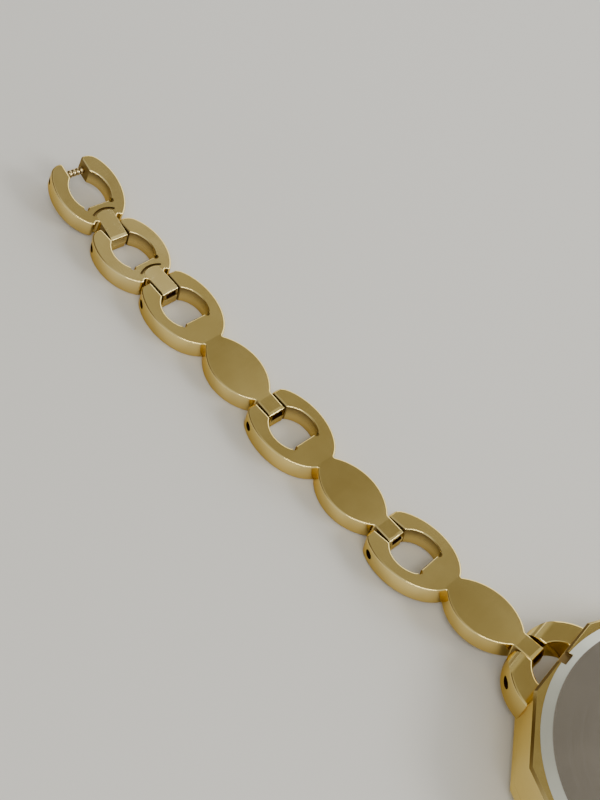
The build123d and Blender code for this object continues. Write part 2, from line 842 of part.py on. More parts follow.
# Hands, each on its own arbor or pipe
full_turn = 2 * half_turn
minute_turn = full_turn * (shown_minute + shown_second / dial_minutes) / dial_minutes
hour_turn = (full_turn * shown_hour + minute_turn) / side_count
hour_hand = hand(hour_hand_length, 0, hour_hand_width, hour_hub_radius, hour_pipe_radius, hour_level)
save("hour_hand", Rot(0, 0, hour_turn) * hour_hand)
minute_hand = hand(minute_hand_length, 0, minute_hand_width, minute_hub_radius, cannon_radius, minute_level)
save("minute_hand", Rot(0, 0, minute_turn) * minute_hand)
second_hand = hand(
    second_hand_length, second_tail_length, second_hand_width, second_hub_radius, arbor_radius, second_level
)
save("seconds_hand", Rot(0, 0, full_turn * shown_second / dial_minutes) * second_hand)
save("cannon_pinion", cannon_pinion())
save("hour_wheel", hour_wheel())
save("minute_wheel", minute_wheel())
save("seconds_wheel", seconds_wheel())

# Movement
save("main_plate", main_plate())
save("movement_holder", movement_holder())
save("train_bridge", train_bridge())
save("motor_coil", coil())
save("circuit_board", circuit_board())
save("battery", battery())
save("battery_strap", battery_strap())

# Crown
save("crown", crown())
save("crown_stem", crown_stem())
tube = along_y(tube_radius, cavity_radius, apothem + tube_standout)
save("crown_tube", tube - along_y(stem_radius + stem_play, cavity_radius - overrun, case_flat))
save("setting_lever", setting_lever())

# Bracelet, free half: three long links, a short link and the end link
flat_height = half_thick
end_height = flat_height + short_pitch * sin(radians(lift_of_end_link))
free_frames = chain(
    (-lug_to_centre, 0, lug_pin_height),
    (link_pitch, link_pitch, link_pitch, short_pitch, short_pitch),
    free_half_turns,
    (second_pin_height, flat_height, flat_height, flat_height, end_height),
)
clasp_frames = chain(
    (lug_to_centre, 0, lug_pin_height),
    (link_pitch, link_pitch, link_pitch, short_pitch),
    (half_turn, half_turn, half_turn, half_turn),
    (second_pin_height, flat_height, flat_height, flat_height),
)
long_pin_half = ring_half_width_at(0, ring_middle, ring_half_length)
short_pin_half = ring_half_width_at(0, short_ring_middle, short_ring_half_length)
lug_pin_half = sqrt(lug_radius**2 - lug_middle**2)
lug_frames = {
    "free": place((-lug_to_centre, 0, lug_pin_height), 0, 0),
    "clasp": place((lug_to_centre, 0, lug_pin_height), half_turn, 0),
}
for half, frames in (("free", free_frames), ("clasp", clasp_frames)):
    save(f"{half}_side_pin_1", lug_frames[half] * hinge_pin(lug_pin_half))
    for number in (1, 2, 3):
        frame = frames[number - 1]
        save(f"{half}_side_link_{number}", frame * long_link())
        save(f"{half}_side_pin_{number + 1}", frame * hinge_pin(long_pin_half))
    save(f"{half}_side_short_link", frames[3] * short_link(pin_radius + pin_fit))
    save(f"{half}_side_short_clip", frames[3] * (clip() - roll_seam(short_pitch)))
    save(f"{half}_side_pin_5", frames[3] * hinge_pin(short_pin_half))
save("free_side_end_link", free_frames[4] * short_link(bar_radius + pin_fit))
save("free_side_end_clip", free_frames[4] * clip())
save("hook_bar", free_frames[4] * hook_bar())

# Clasp, whose own u axis runs away from the case
last = clasp_frames[3].origin
clasp_frame = Plane(origin=last, x_dir=(1, 0, 0), z_dir=(0, 0, 1))
save("clasp_cover", clasp_frame * clasp_cover())
save("clasp_blade", clasp_frame * clasp_blade())
save("clasp_hook", clasp_frame * clasp_hook())
save("clasp_catch_stud", clasp_frame * catch_stud())
clasp_pin = cross_rod(cover_hinge, cover_hinge_rise, blade_pin_radius, 2 * (cover_half_width - seat_gap))
save("clasp_hinge_pin", clasp_frame * clasp_pin)

for name, frame in zip(("link 1", "link 2", "link 3", "short link", "end link"), free_frames):
    print("free side", name, "hinge at", tuple(round(value, 3) for value in frame.origin))
for name, frame in zip(("link 1", "link 2", "link 3", "short link"), clasp_frames):
    print("clasp side", name, "hinge at", tuple(round(value, 3) for value in frame.origin))
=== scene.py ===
# %% [markdown]
# # A gold bracelet watch, dressed for its portrait
#
# The watch lies face down on a pale table. The CAD model gives every piece its place and size,
# and this script gives the pieces their looks. All lengths in the making of a piece are
# millimetres, because Blender's cutting tools lose small details in metres. A piece is brought
# to metres only when it is finished.

# %% Start
import json
import math

import bmesh
import bpy
import numpy as np
from mathutils import Matrix, Vector

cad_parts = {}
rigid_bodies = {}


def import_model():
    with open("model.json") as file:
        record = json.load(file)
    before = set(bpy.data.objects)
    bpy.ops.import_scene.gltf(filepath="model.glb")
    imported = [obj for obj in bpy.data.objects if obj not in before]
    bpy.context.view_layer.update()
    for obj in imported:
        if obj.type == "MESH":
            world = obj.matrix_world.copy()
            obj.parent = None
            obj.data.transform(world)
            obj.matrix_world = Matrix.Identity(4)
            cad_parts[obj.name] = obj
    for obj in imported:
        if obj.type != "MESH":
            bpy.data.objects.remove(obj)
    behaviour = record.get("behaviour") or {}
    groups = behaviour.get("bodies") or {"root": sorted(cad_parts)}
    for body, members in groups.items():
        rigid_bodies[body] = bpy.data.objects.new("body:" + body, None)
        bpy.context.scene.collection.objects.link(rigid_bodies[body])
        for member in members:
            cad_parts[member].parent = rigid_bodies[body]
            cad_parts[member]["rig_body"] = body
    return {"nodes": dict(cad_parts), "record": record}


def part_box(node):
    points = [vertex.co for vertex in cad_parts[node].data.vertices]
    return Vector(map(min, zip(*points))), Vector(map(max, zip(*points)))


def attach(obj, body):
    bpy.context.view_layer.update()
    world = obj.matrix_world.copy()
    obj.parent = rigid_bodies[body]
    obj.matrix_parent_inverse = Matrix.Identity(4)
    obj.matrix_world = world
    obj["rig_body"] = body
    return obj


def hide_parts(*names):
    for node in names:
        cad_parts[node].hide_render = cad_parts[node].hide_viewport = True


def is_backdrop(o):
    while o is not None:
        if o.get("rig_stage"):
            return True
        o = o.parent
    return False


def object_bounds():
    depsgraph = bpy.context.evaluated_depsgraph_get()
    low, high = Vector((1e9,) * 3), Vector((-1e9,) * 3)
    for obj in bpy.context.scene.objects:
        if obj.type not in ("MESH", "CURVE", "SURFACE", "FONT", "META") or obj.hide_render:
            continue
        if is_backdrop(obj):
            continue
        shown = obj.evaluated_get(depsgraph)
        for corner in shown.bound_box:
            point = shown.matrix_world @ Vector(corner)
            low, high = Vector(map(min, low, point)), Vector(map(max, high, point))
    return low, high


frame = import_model()
cad_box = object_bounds()
MM = 0.001
nodes = frame["nodes"]

# %% [markdown]
# ## Three helpers
#
# Blender's own calls to add an object, lay it somewhere and wire a node are long, so three small
# functions take them up.


# %% Helpers
def added(name, data):
    """A new object in the scene with this mesh, lamp or camera."""
    made = bpy.data.objects.new(name, data)
    bpy.context.scene.collection.objects.link(made)
    return made


def placed(u, v, w, place):
    """The matrix that lays a piece's own axes along three directions, from one place."""
    return Matrix([(u[i], v[i], w[i], place[i]) for i in range(3)] + [(0, 0, 0, 1)])


def wired(tree, kind, settings, sockets, result=0):
    """Adds a node to a tree: its settings first, then values or links for its sockets."""
    made = tree.nodes.new(kind)
    for key, value in settings.items():
        if key == "stops":
            bar = made.color_ramp.elements
            while len(bar) < len(value):
                bar.new(0.5)
            for stop, (position, colour) in zip(bar, value):
                stop.position = position
                stop.color = (*colour, 1)
        else:
            setattr(made, key, value)
    for key, value in sockets.items():
        if isinstance(value, (list, bpy.types.NodeSocket)):
            for source in value if isinstance(value, list) else [value]:
                tree.links.new(source, made.inputs[key])
        else:
            made.inputs[key].default_value = value
    return made.outputs[result] if made.outputs else None


print("three helpers are ready")

# %% [markdown]
# ## The camera
#
# The photograph was taken from above the free end of the bracelet, with the camera rolled so that
# the bracelet runs from corner to corner. The vectors below place a camera so that the hinge pins
# of the links fall on the same spots as in the photograph.

# %% Camera
right = Vector((0.76441, 0.60224, 0.23016))
up = Vector((-0.60816, 0.55507, 0.56748))
back = right.cross(up).normalized()
place = Vector((-14.366, -83.011, 125.604)) * MM
focal_pixels, photo_height, sensor_height = 1654.17, 800, 24.0
lens_data = bpy.data.cameras.new("camera")
lens_data.sensor_fit = "VERTICAL"
lens_data.sensor_height = sensor_height
lens_data.lens = focal_pixels / photo_height * sensor_height
lens_data.clip_start = 0.001
camera = added("camera", lens_data)
camera.matrix_world = placed(right, up, back, place)
bpy.context.scene.camera = camera
print("camera", [round(c / MM, 1) for c in place], "mm, lens", round(lens_data.lens, 2))

# %% [markdown]
# ## Light
#
# Polished metal shows little but what stands round it, so the room matters more than the lamps.
# The flat tops mirror one patch of the ceiling, away from the camera. That patch is dim and warm,
# which gives the gold its olive tone, and the room grows brighter on all sides of it. Beyond the
# bracelet's free end the room is nearly black, so the walls that face that way are dark. The main
# light is a wide soft panel on the far side. It brightens the walls of the links and draws a
# bright line along their upper edges. Only the metal mirrors this room: where the camera looks
# past the table, it sees a plain pale wall.

# %% Room
mirror_way = Vector((-back.x, -back.y, back.z))
dark_way = Vector((-0.94, -0.12, 0.32)).normalized()
world = bpy.data.worlds.new("room")
bpy.context.scene.world = world
world.use_nodes = True
sky = world.node_tree
sky.nodes.clear()
directions = wired(sky, "ShaderNodeTexCoord", {}, {}, "Generated")


def sky_tones(way, stops):
    """Tones of the room by how nearly one looks along a direction: 1 is straight along it."""
    both_ways = {0: directions, 1: way}
    nearness = wired(sky, "ShaderNodeVectorMath", {"operation": "DOT_PRODUCT"}, both_ways, "Value")
    return wired(sky, "ShaderNodeValToRGB", {"stops": stops}, {0: nearness})


ceiling = sky_tones(Vector((-0.04, 0.60, 0.80)), (
    (0.0, (0.80, 0.80, 0.80)), (0.76, (0.66, 0.65, 0.62)), (0.92, (0.53, 0.50, 0.41)),
    (0.96, (0.46, 0.425, 0.33)), (1.0, (0.265, 0.23, 0.15))))
shade = sky_tones(dark_way, (
    (0.0, (1.0, 1.0, 1.0)), (0.60, (0.88, 0.87, 0.85)), (0.83, (0.22, 0.17, 0.10)),
    (1.0, (0.12, 0.08, 0.04))))
pale_wall = (0.60, 0.60, 0.58, 1.0)
multiply, colours_only = {"data_type": "RGBA", "blend_type": "MULTIPLY"}, {"data_type": "RGBA"}
room = wired(sky, "ShaderNodeMix", multiply, {"Factor": 1.0, 6: ceiling, 7: shade}, 2)
to_camera = wired(sky, "ShaderNodeLightPath", {}, {}, "Is Camera Ray")
seen = wired(sky, "ShaderNodeMix", colours_only, {0: to_camera, 6: room, 7: pale_wall}, 2)
background = wired(sky, "ShaderNodeBackground", {}, {0: seen, 1: 1.0})
wired(sky, "ShaderNodeOutputWorld", {}, {0: background})
print("tops mirror", [round(c, 2) for c in mirror_way])


# %% Lamps
def panel(name, spot, aim, size, power, tint=(1, 1, 1)):
    """A soft rectangular lamp at one spot, in millimetres, which looks at another."""
    lamp = bpy.data.lights.new(name, "AREA")
    lamp.shape = "RECTANGLE"
    lamp.size, lamp.size_y = size[0] * MM, size[1] * MM
    lamp.energy = power
    lamp.color = tint
    holder = added(name, lamp)
    holder.location = Vector(spot) * MM
    holder.rotation_euler = (Vector(aim) - Vector(spot)).to_track_quat("-Z", "Y").to_euler()


panel("window", (80, 470, 250), (-40, 0, 0), (1700, 420), 3.3, (1.0, 0.995, 0.985))
panel("near_panel", (75, -190, 392), (-40, 0, 0), (300, 60), 0.75, (1.0, 0.93, 0.80))
panel("side_panel", (430, 160, 330), (-20, 0, 0), (200, 160), 1.4)

# %% [markdown]
# ## Shader sums
#
# A finish is a small calculation on the surface: noise, masks and colours. Writing it as Python
# sums keeps it readable, so one class wraps a shader socket and turns `+` and `*` into Math nodes.


# %% Signals and finishes
finishes = {}


class Signal:
    """One output of a shader node, which can be added and multiplied."""

    def __init__(self, finish, socket):
        self.finish = finish
        self.socket = socket

    def sum_with(self, operation, other):
        return self.finish.node("ShaderNodeMath", {"operation": operation}, {0: self, 1: other})

    def __add__(self, other):
        return self.sum_with("ADD", other)

    def __mul__(self, other):
        return self.sum_with("MULTIPLY", other)


class Finish:
    """A material: one Principled shader and the nodes that vary its sockets."""

    def __init__(self, name, **fixed):
        self.material = bpy.data.materials.new(name)
        self.material.use_nodes = True
        self.tree = self.material.node_tree
        self.tree.nodes.clear()
        self.shader = self.tree.nodes.new("ShaderNodeBsdfPrincipled")
        wired(self.tree, "ShaderNodeOutputMaterial", {}, {0: self.shader.outputs[0]})
        finishes[name] = self.material
        for socket, value in fixed.items():
            self.shader.inputs[socket.replace("_", " ")].default_value = value
        self.coordinates = self.node("ShaderNodeTexCoord", {}, {}, "Object")

    def node(self, kind, settings, sockets, result=0):
        """Adds a node, with values or signals for its sockets."""
        plain = {key: getattr(value, "socket", value) for key, value in sockets.items()}
        return Signal(self, wired(self.tree, kind, settings, plain, result))

    def noise(self, per_metre, detail=2.0, stretch=(1, 1, 1)):
        """Noise with so many features per metre of the piece."""
        laid = self.node("ShaderNodeMapping", {}, {"Vector": self.coordinates, "Scale": stretch})
        return self.node("ShaderNodeTexNoise", {}, {"Vector": laid, "Scale": per_metre, "Detail": detail})

    def between(self, mask, low, high):
        """Spreads a mask from 0 to 1 over a range of values."""
        return mask * (high - low) + low

    def colours(self, mask, dark, light, low=0.3):
        """Two colours along a mask: dark up to a low value, and light from as far below 1."""
        return self.node("ShaderNodeValToRGB", {"stops": ((low, dark), (1 - low, light))}, {0: mask})

    def mixed(self, mask, first, second):
        """One colour where the mask is 0, and another where it is 1."""
        return self.node("ShaderNodeMix", {"data_type": "RGBA"}, {0: mask, 6: first, 7: second}, 2)

    def mark(self, name):
        """A number that a piece's faces or points carry, which is 0 where it has none."""
        return self.node("ShaderNodeAttribute", {"attribute_name": name}, {}, "Fac")

    def spread(self, signal, low, high, at_low, at_high):
        """Maps one range of a signal onto another, and holds it at both ends."""
        return self.node("ShaderNodeMapRange", {}, {0: signal, 1: low, 2: high, 3: at_low, 4: at_high})

    def feed(self, socket, signal):
        self.tree.links.new(signal.socket, self.shader.inputs[socket])

    def relief(self, height, depth, strength):
        """Bump from a height signal, with its depth in metres."""
        bump = self.node("ShaderNodeBump", {}, {"Height": height, "Distance": depth, "Strength": strength})
        self.feed("Normal", bump)


def gold(name, olive, warm, shine):
    """Polished gold plate: a little broad waviness, hair-fine polishing marks, and painted shade in slots,
    seats, gaps and low on the walls.
    """
    made = Finish(name, Metallic=1.0, Specular_Tint=(0.90, 0.71, 0.38, 1.0))
    # Colours of painted shade: a brown for low on the walls, and a near black for slots, seats and narrow
    # gaps.
    painted_foot_shade, painted_hollow_shade = (0.50, 0.34, 0.09, 1), (0.075, 0.032, 0.014, 1)
    broad = made.noise(90, 1.0)
    cloud = made.noise(420, 3.0)
    fine = made.noise(5200, 2.0, (1.0, 0.25, 1.0))
    depth = made.mark("depth")
    # Painted shade on the wall round a ring's hole, darkest just under the rim.
    painted_rim_shade = made.mark("inner") * made.spread(depth, 0.25, 1.35, 0.75, 0.1)
    # Painted shade of slots, seats and gaps, or the shade under the rim where that is darker.
    hollow = made.mark("hollow").sum_with("MAXIMUM", painted_rim_shade)
    plated = made.colours(broad * 0.7 + cloud * 0.3, olive, warm, 0.35)
    # Painted shade: the walls turn darker brown towards their foot.
    plated = made.mixed(made.spread(depth, 0.3, 2.1, 0.0, 0.8), plated, painted_foot_shade)
    # The near black painted shade is mixed in where that mask says, and the same faces are made rougher.
    made.feed("Base Color", made.mixed(hollow, plated, painted_hollow_shade))
    rough = made.between(cloud * 0.6 + fine * 0.4, shine - 0.05, shine + 0.09)
    made.feed("Roughness", rough + hollow * 0.35)
    made.relief(broad + fine * 0.006, 0.00016, 0.5)


gold("polished_gold", (0.83, 0.66, 0.25), (0.89, 0.73, 0.31), 0.12)
gold("clip_gold", (0.90, 0.73, 0.31), (0.95, 0.79, 0.37), 0.24)
gold("short_link_gold", (0.84, 0.67, 0.27), (0.90, 0.74, 0.33), 0.18)
gold("bar_gold", (0.46, 0.36, 0.18), (0.66, 0.54, 0.30), 0.22)
gold("marker_gold", (0.78, 0.60, 0.26), (0.86, 0.69, 0.33), 0.20)


def turned_metal(name, dark, light, shine, marks):
    """Plain metal with fine turning marks and a little cloudiness."""
    made = Finish(name, Metallic=1.0)
    cloud = made.noise(260, 4.0)
    fine = made.noise(marks, 2.0)
    made.feed("Base Color", made.colours(cloud, dark, light))
    made.feed("Roughness", made.between(cloud * 0.5 + fine * 0.5, shine - 0.06, shine + 0.10))
    made.relief(fine, 0.000012, 0.5)


turned_metal("pin_steel", (0.33, 0.31, 0.27), (0.45, 0.43, 0.38), 0.28, 6000)
turned_metal("bridge_steel", (0.52, 0.52, 0.51), (0.66, 0.66, 0.64), 0.32, 3600)
turned_metal("cell_steel", (0.60, 0.60, 0.60), (0.72, 0.72, 0.71), 0.26, 3000)
turned_metal("movement_brass", (0.56, 0.42, 0.18), (0.70, 0.55, 0.27), 0.27, 3800)

# The case back has a fine-turned flat, and a satin ring on its slope: the ring is rougher, and its paler
# colour is painted light that stands in for the bright room it mirrors.
steel = Finish("back_steel", Metallic=1.0)
flat_radius, satin_and_painted_light = 12.9, (0.68, 0.71, 0.64, 1)
cloud = steel.noise(260, 4.0)
in_mm = {0: steel.coordinates, 1: (1 / MM, 1 / MM, 0)}
flat_spot = steel.node("ShaderNodeVectorMath", {"operation": "MULTIPLY"}, in_mm)
radius = steel.node("ShaderNodeVectorMath", {"operation": "LENGTH"}, {0: flat_spot}, "Value")
across = {"W": radius, "Scale": 14.0, "Detail": 2.0}
marks = steel.node("ShaderNodeTexNoise", {"noise_dimensions": "1D"}, across)
slope = steel.spread(radius, flat_radius, flat_radius + 0.1, 0.0, 1.0)
centre = steel.colours(cloud * 0.7 + marks * 0.3, (0.47, 0.455, 0.47), (0.54, 0.525, 0.54))
steel.feed("Base Color", steel.mixed(slope, centre, satin_and_painted_light))
steel.feed("Roughness", steel.between(marks, 0.13, 0.21) + slope * 0.28)
steel.relief(marks * 0.6 + cloud * 0.4, 0.000012, 0.5)


def moulded(name, dark, light, rough, grain, depth):
    """Plastic, rubber or lacquer with a fine skin."""
    made = Finish(name)
    cloud = made.noise(300, 3.0)
    skin = made.noise(grain, 2.0)
    made.feed("Base Color", made.colours(cloud, dark, light))
    made.feed("Roughness", made.between(skin, rough - 0.08, rough + 0.08))
    made.relief(skin, depth, 0.4)


moulded("gasket_rubber", (0.012, 0.012, 0.012), (0.03, 0.03, 0.03), 0.62, 5000, 0.00002)
moulded("dial_lacquer", (0.80, 0.76, 0.66), (0.86, 0.83, 0.74), 0.32, 9000, 0.000005)
moulded("holder_plastic", (0.66, 0.66, 0.62), (0.74, 0.74, 0.70), 0.48, 4000, 0.00001)
moulded("board_green", (0.02, 0.10, 0.04), (0.03, 0.14, 0.06), 0.40, 7000, 0.00001)
moulded("coil_copper", (0.30, 0.10, 0.03), (0.42, 0.16, 0.05), 0.35, 9000, 0.00002)

glass = Finish("crystal_glass", IOR=1.5, Transmission_Weight=0.0, Alpha=0.22)
glass_cloud = glass.noise(200, 1.0)
glass.feed("Base Color", glass.colours(glass_cloud, (0.90, 0.93, 0.94), (0.95, 0.97, 0.98)))
glass.feed("Roughness", glass.between(glass.noise(1500, 2.0), 0.02, 0.07))

table = Finish("table_top")
table_cloud = table.noise(9, 3.0)
table.feed("Base Color", table.colours(table_cloud, (0.65, 0.65, 0.625), (0.69, 0.69, 0.67)))
table.feed("Roughness", table.between(table.noise(240, 3.0), 0.38, 0.5))
print("finishes", sorted(finishes))

# %% [markdown]
# ## The table
#
# A plain pale board that reaches far beyond the picture. It is a stage, not a part.

# %% Table
board = bpy.data.meshes.new("table")
edge = 8.0
corners = [(-edge, -edge, 0), (edge, -edge, 0), (edge, edge, 0), (-edge, edge, 0)]
board.from_pydata(corners, [], [(0, 1, 2, 3)])
board.materials.append(table.material)
table_top = added("table", board)
table_top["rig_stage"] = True
print("table", 2 * edge, "m wide")

# %% [markdown]
# ## Flat shapes with soft edges
#
# Every link was pressed from thick strip and tumbled, so it is a flat outline with rounded edges.
# A bevel modifier chokes on the tiny notches, so the outline is walked inwards a hair at a time
# instead, like ice melting from its rim, and each ring of the walk becomes one step of the
# rounded edge.


# %% Outlines
def arc(centre, radius, start, end, count=24):
    """Points on a round or oval arc, from one angle to another, in degrees."""
    wide, high = radius if isinstance(radius, tuple) else (radius, radius)
    turns = np.radians(np.linspace(start, end, count))
    return [(centre[0] + wide * math.cos(t), centre[1] + high * math.sin(t)) for t in turns]


def mirrored(half_loop):
    """A closed outline from its upper half, which starts and ends on the middle line."""
    lower = [(u, -v) for u, v in reversed(half_loop)]
    return list(half_loop) + lower


def even(loop, spacing):
    """The same outline with its points evenly spaced."""
    points = np.array(loop + [loop[0]], float)
    steps = np.linalg.norm(np.diff(points, axis=0), axis=1)
    along = np.concatenate([[0], np.cumsum(steps)])
    count = max(8, int(round(along[-1] / spacing)))
    wanted = np.linspace(0, along[-1], count, endpoint=False)
    return np.stack([np.interp(wanted, along, points[:, axis]) for axis in (0, 1)], axis=1)


def relaxed(points, share, times=1):
    """Moves each point a share of the way to the middle of its neighbours."""
    for _ in range(times):
        middle_of = (np.roll(points, 1, axis=0) + np.roll(points, -1, axis=0)) / 2
        points = points + share * (middle_of - points)
    return points


def inwards(points, distance):
    """Walks a counter-clockwise outline inwards by small steps."""
    steps = max(1, int(math.ceil(distance / 0.03)))
    for _ in range(steps if distance > 0 else 0):
        along = np.roll(points, -1, axis=0) - np.roll(points, 1, axis=0)
        along /= np.linalg.norm(along, axis=1, keepdims=True)
        normal = np.stack([-along[:, 1], along[:, 0]], axis=1)
        points = relaxed(points + normal * distance / steps, 0.5)
    return points


def solid(name, mesh):
    """A new object from a working mesh, which is let go."""
    made = bpy.data.meshes.new(name)
    mesh.to_mesh(made)
    mesh.free()
    return added(name, made)


def plate(name, loop, low, high, low_round, high_round, spacing=0.09, smooth=2, steps=4):
    """A solid plate in millimetres from one outline, with both of its rims rounded."""
    rim = relaxed(even(loop, spacing), 0.5, smooth)
    area = np.sum(rim[:, 0] * np.roll(rim[:, 1], -1) - np.roll(rim[:, 0], -1) * rim[:, 1])
    rim = rim[::-1] if area < 0 else rim
    quarter = [math.pi / 2 * step / steps for step in range(steps + 1)]
    lip = 0.02
    layers = [(low_round + lip, low)]
    layers += [(low_round * (1 - math.sin(t)), low + low_round * (1 - math.cos(t))) for t in quarter]
    layers += [(high_round * (1 - math.cos(t)), high - high_round * (1 - math.sin(t))) for t in quarter]
    layers += [(high_round + lip, high)]
    mesh = bmesh.new()
    rings = [[mesh.verts.new((u, v, height)) for u, v in inwards(rim, inset)] for inset, height in layers]
    count = len(rim)
    for lower, upper in zip(rings, rings[1:]):
        for i in range(count):
            j = (i + 1) % count
            mesh.faces.new((lower[i], lower[j], upper[j], upper[i]))
    mesh.faces.new(list(reversed(rings[0])))
    mesh.faces.new(rings[-1])
    return solid(name, mesh)


def prism(name, loop, half_width):
    """A straight-sided cutter from an outline in the (u, z) plane, across the link."""
    mesh = bmesh.new()
    near, far = ([mesh.verts.new((u, v, z)) for u, z in loop] for v in (-half_width, half_width))
    mesh.faces.new(near)
    mesh.faces.new(list(reversed(far)))
    for i in range(len(loop)):
        j = (i + 1) % len(loop)
        mesh.faces.new((near[i], far[i], far[j], near[j]))
    bmesh.ops.recalc_face_normals(mesh, faces=mesh.faces)
    return solid(name, mesh)


def turned(piece, matrix):
    """Moves a piece's points, and leaves its object where it is."""
    piece.data.transform(matrix)
    return piece


def rod(name, centre, radius, length, direction="Y", sides=40):
    """A plain round cutter, closed at both ends."""
    mesh = bmesh.new()
    bmesh.ops.create_cone(mesh, cap_ends=True, segments=sides, radius1=radius, radius2=radius, depth=length)
    turn = {"Y": Matrix.Rotation(math.pi / 2, 4, "X"), "Z": Matrix()}[direction]
    return turned(solid(name, mesh), Matrix.Translation(centre) @ turn)


def kept(piece):
    """Keeps only what a piece's modifiers make of it."""
    depsgraph = bpy.context.evaluated_depsgraph_get()
    result = bpy.data.meshes.new_from_object(piece.evaluated_get(depsgraph))
    piece.modifiers.clear()
    piece.data = result
    return piece


def modified(piece, kind, **settings):
    """Applies one modifier."""
    change = piece.modifiers.new(kind.lower(), kind)
    for key, value in settings.items():
        setattr(change, key, value)
    return kept(piece)


def cut(piece, cutter, operation="DIFFERENCE"):
    """Takes a cutter out of a solid, or keeps what they share, and drops the cutter."""
    modified(piece, "BOOLEAN", object=cutter, operation=operation, solver="EXACT")
    bpy.data.objects.remove(cutter)
    return piece


print("outline of a unit circle", len(even(arc((0, 0), 1, 0, 350, 36), 0.1)), "points")

# %% [markdown]
# ## Finishing a piece
#
# A finished piece is smooth where its faces nearly agree and sharp elsewhere, and its wide flat
# faces set the shading at their rims, so that light slides over a rim and not over the whole
# face. Then it is laid in its place and brought to metres.
#
# The gold reads three marks on a piece, and each of them paints shade into its colour. The first, on faces,
# says from 0 to 1 how much painted shade a slot, a pin seat or a narrow gap gets. "inner" is 1 on the wall
# round a ring's hole, which gets painted shade just under its rim. A point's "depth" is how far it lies
# below the top, in millimetres, and the walls get darker painted shade the deeper they go.


# %% Finishing
def in_ring_hole(spot, normal):
    """Tells whether a spot of a link lies on the wall round its ring's hole."""
    hole_middle, hole_end, hole_half_width = 2.7, 4.8, 2.3
    faces_middle = (hole_middle - spot.x) * normal.x - spot.y * normal.y > 0
    on_a_wall = abs(normal.z) < 0.5
    return faces_middle and spot.x < hole_end and abs(spot.y) < hole_half_width and on_a_wall


def marked(piece, mark, domain, values):
    """Writes one number on each face or point of a piece."""
    piece.data.attributes.new(mark, "FLOAT", domain).data.foreach_set("value", values)


def finished(piece, name, finish, body, stands_for, laid, sharp=38.0, in_hollow=None, slot=None,
             has_ring=False, walled=False):
    """Shades, places and dresses a piece, and ties it to its CAD body."""
    piece.name = name
    piece.data.name = name
    faces = piece.data.polygons
    # Faces that get painted shade, from 0 to 1.
    if in_hollow:
        marked(piece, "hollow", "FACE", [float(in_hollow(face.center, face.normal)) for face in faces])
    # The wall round a ring's hole, which the gold paints with shade under its rim.
    if has_ring:
        marked(piece, "inner", "FACE", [float(in_ring_hole(face.center, face.normal)) for face in faces])
    # Each point's depth below the top, which the gold turns into painted shade on the walls.
    if walled:
        heights = [point.co.z for point in piece.data.vertices]
        top = max(heights)
        marked(piece, "depth", "POINT", [top - height for height in heights])
    for face in faces:
        face.use_smooth = True
    piece.data.set_sharp_from_angle(angle=math.radians(sharp))
    modified(piece, "WEIGHTED_NORMAL", weight=80, keep_sharp=True)
    piece.data.transform(Matrix.Diagonal((MM, MM, MM, 1)) @ laid)
    piece.data.materials.clear()
    piece.data.materials.append(finishes[finish])
    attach(piece, body)
    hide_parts(*stands_for)
    slot or finish
    return piece


print("pieces are laid in their place in millimetres, then scaled to metres")

# %% [markdown]
# ## A long link
#
# Seen from above, a long link is an open oval ring, a narrow neck, a leaf-shaped belly and a
# tongue. The tongue is the strip's end, folded back under itself round the next link's pin. Its
# end face leans back a little, and the fold leaves a slot in it. The sizes are those of the CAD
# model. Only the upper half of the outline is written down, because the link is the same on both
# sides. An outline's u runs from the prongs' pin to the tongue, and z is up.

# %% Long link
half_thick = 1.05
long_pitch, short_pitch = 16.5, 8.1
tongue_past_pin = 1.0
long_end, short_end = long_pitch + tongue_past_pin, short_pitch + tongue_past_pin
ring_half_width = 3.4
long_middle, long_half_length, long_reach = 2.7, 5.05, 1.3
tab_end = 4.6
tongue_half_width = 0.92
gap_half_width = 1.1
pin_radius, seat_radius = 0.42, 0.56
low_rim, high_rim = 0.13, 0.15
fold_top, fold_foot = Vector((-0.30, 0, 0.93)), Vector((0, 0, 0.25))
fold_up = (fold_top - fold_foot).normalized()
across_link = Vector((0, 1, 0))
fold_out = across_link.cross(fold_up)
fold_middle = (fold_top + fold_foot) / 2
slot_half_width, slot_half_height, slot_depth = 0.60, 0.23, 0.45


def oval_turn(along, middle_at, half_length):
    """The angle of an oval arc where it stands at one place along the link."""
    return math.degrees(math.acos((along - middle_at) / half_length))


def ring_side(middle_at, half_length, reach, end_turn):
    """The outer side of an open ring, from its prong's rounded tip to where the ring ends."""
    tip_length, inner_round = 0.68, 0.24
    meets = tip_length - reach
    height = ring_half_width * math.sqrt(1 - ((meets - middle_at) / half_length) ** 2)
    slope = math.atan((ring_half_width / half_length) ** 2 * (middle_at - meets) / height)
    tip_round = (meets + reach) / (1 - math.sin(slope))
    centre = (tip_round - reach, height - tip_round * math.cos(slope))
    side = arc((inner_round - reach, gap_half_width + inner_round), inner_round, 270, 180, 6)
    side += arc(centre, tip_round, 180, 90 + math.degrees(slope), 16)
    start_turn = oval_turn(meets, middle_at, half_length)
    return side + arc((middle_at, 0), (half_length, ring_half_width), start_turn, end_turn, 60)


def leaf_side():
    """The belly's arc: a leaf from inside the ring's end to near the next pin."""
    start, end, half_width = long_middle + long_half_length - 1.05, long_pitch - 0.7, 2.53
    half_length = (end - start) / 2
    radius = (half_length ** 2 + half_width ** 2) / (2 * half_width)
    centre = ((start + end) / 2, half_width - radius)
    leaves_ring, meets_tongue = 134.1, math.asin((tongue_half_width - centre[1]) / radius)
    return arc(centre, radius, leaves_ring, math.degrees(meets_tongue), 44)


def tongue_corner(end, round_by=0.25):
    """The softened corner of a tongue, as it is seen from above."""
    return arc((end - round_by, tongue_half_width - round_by), round_by, 90, 0, 8)


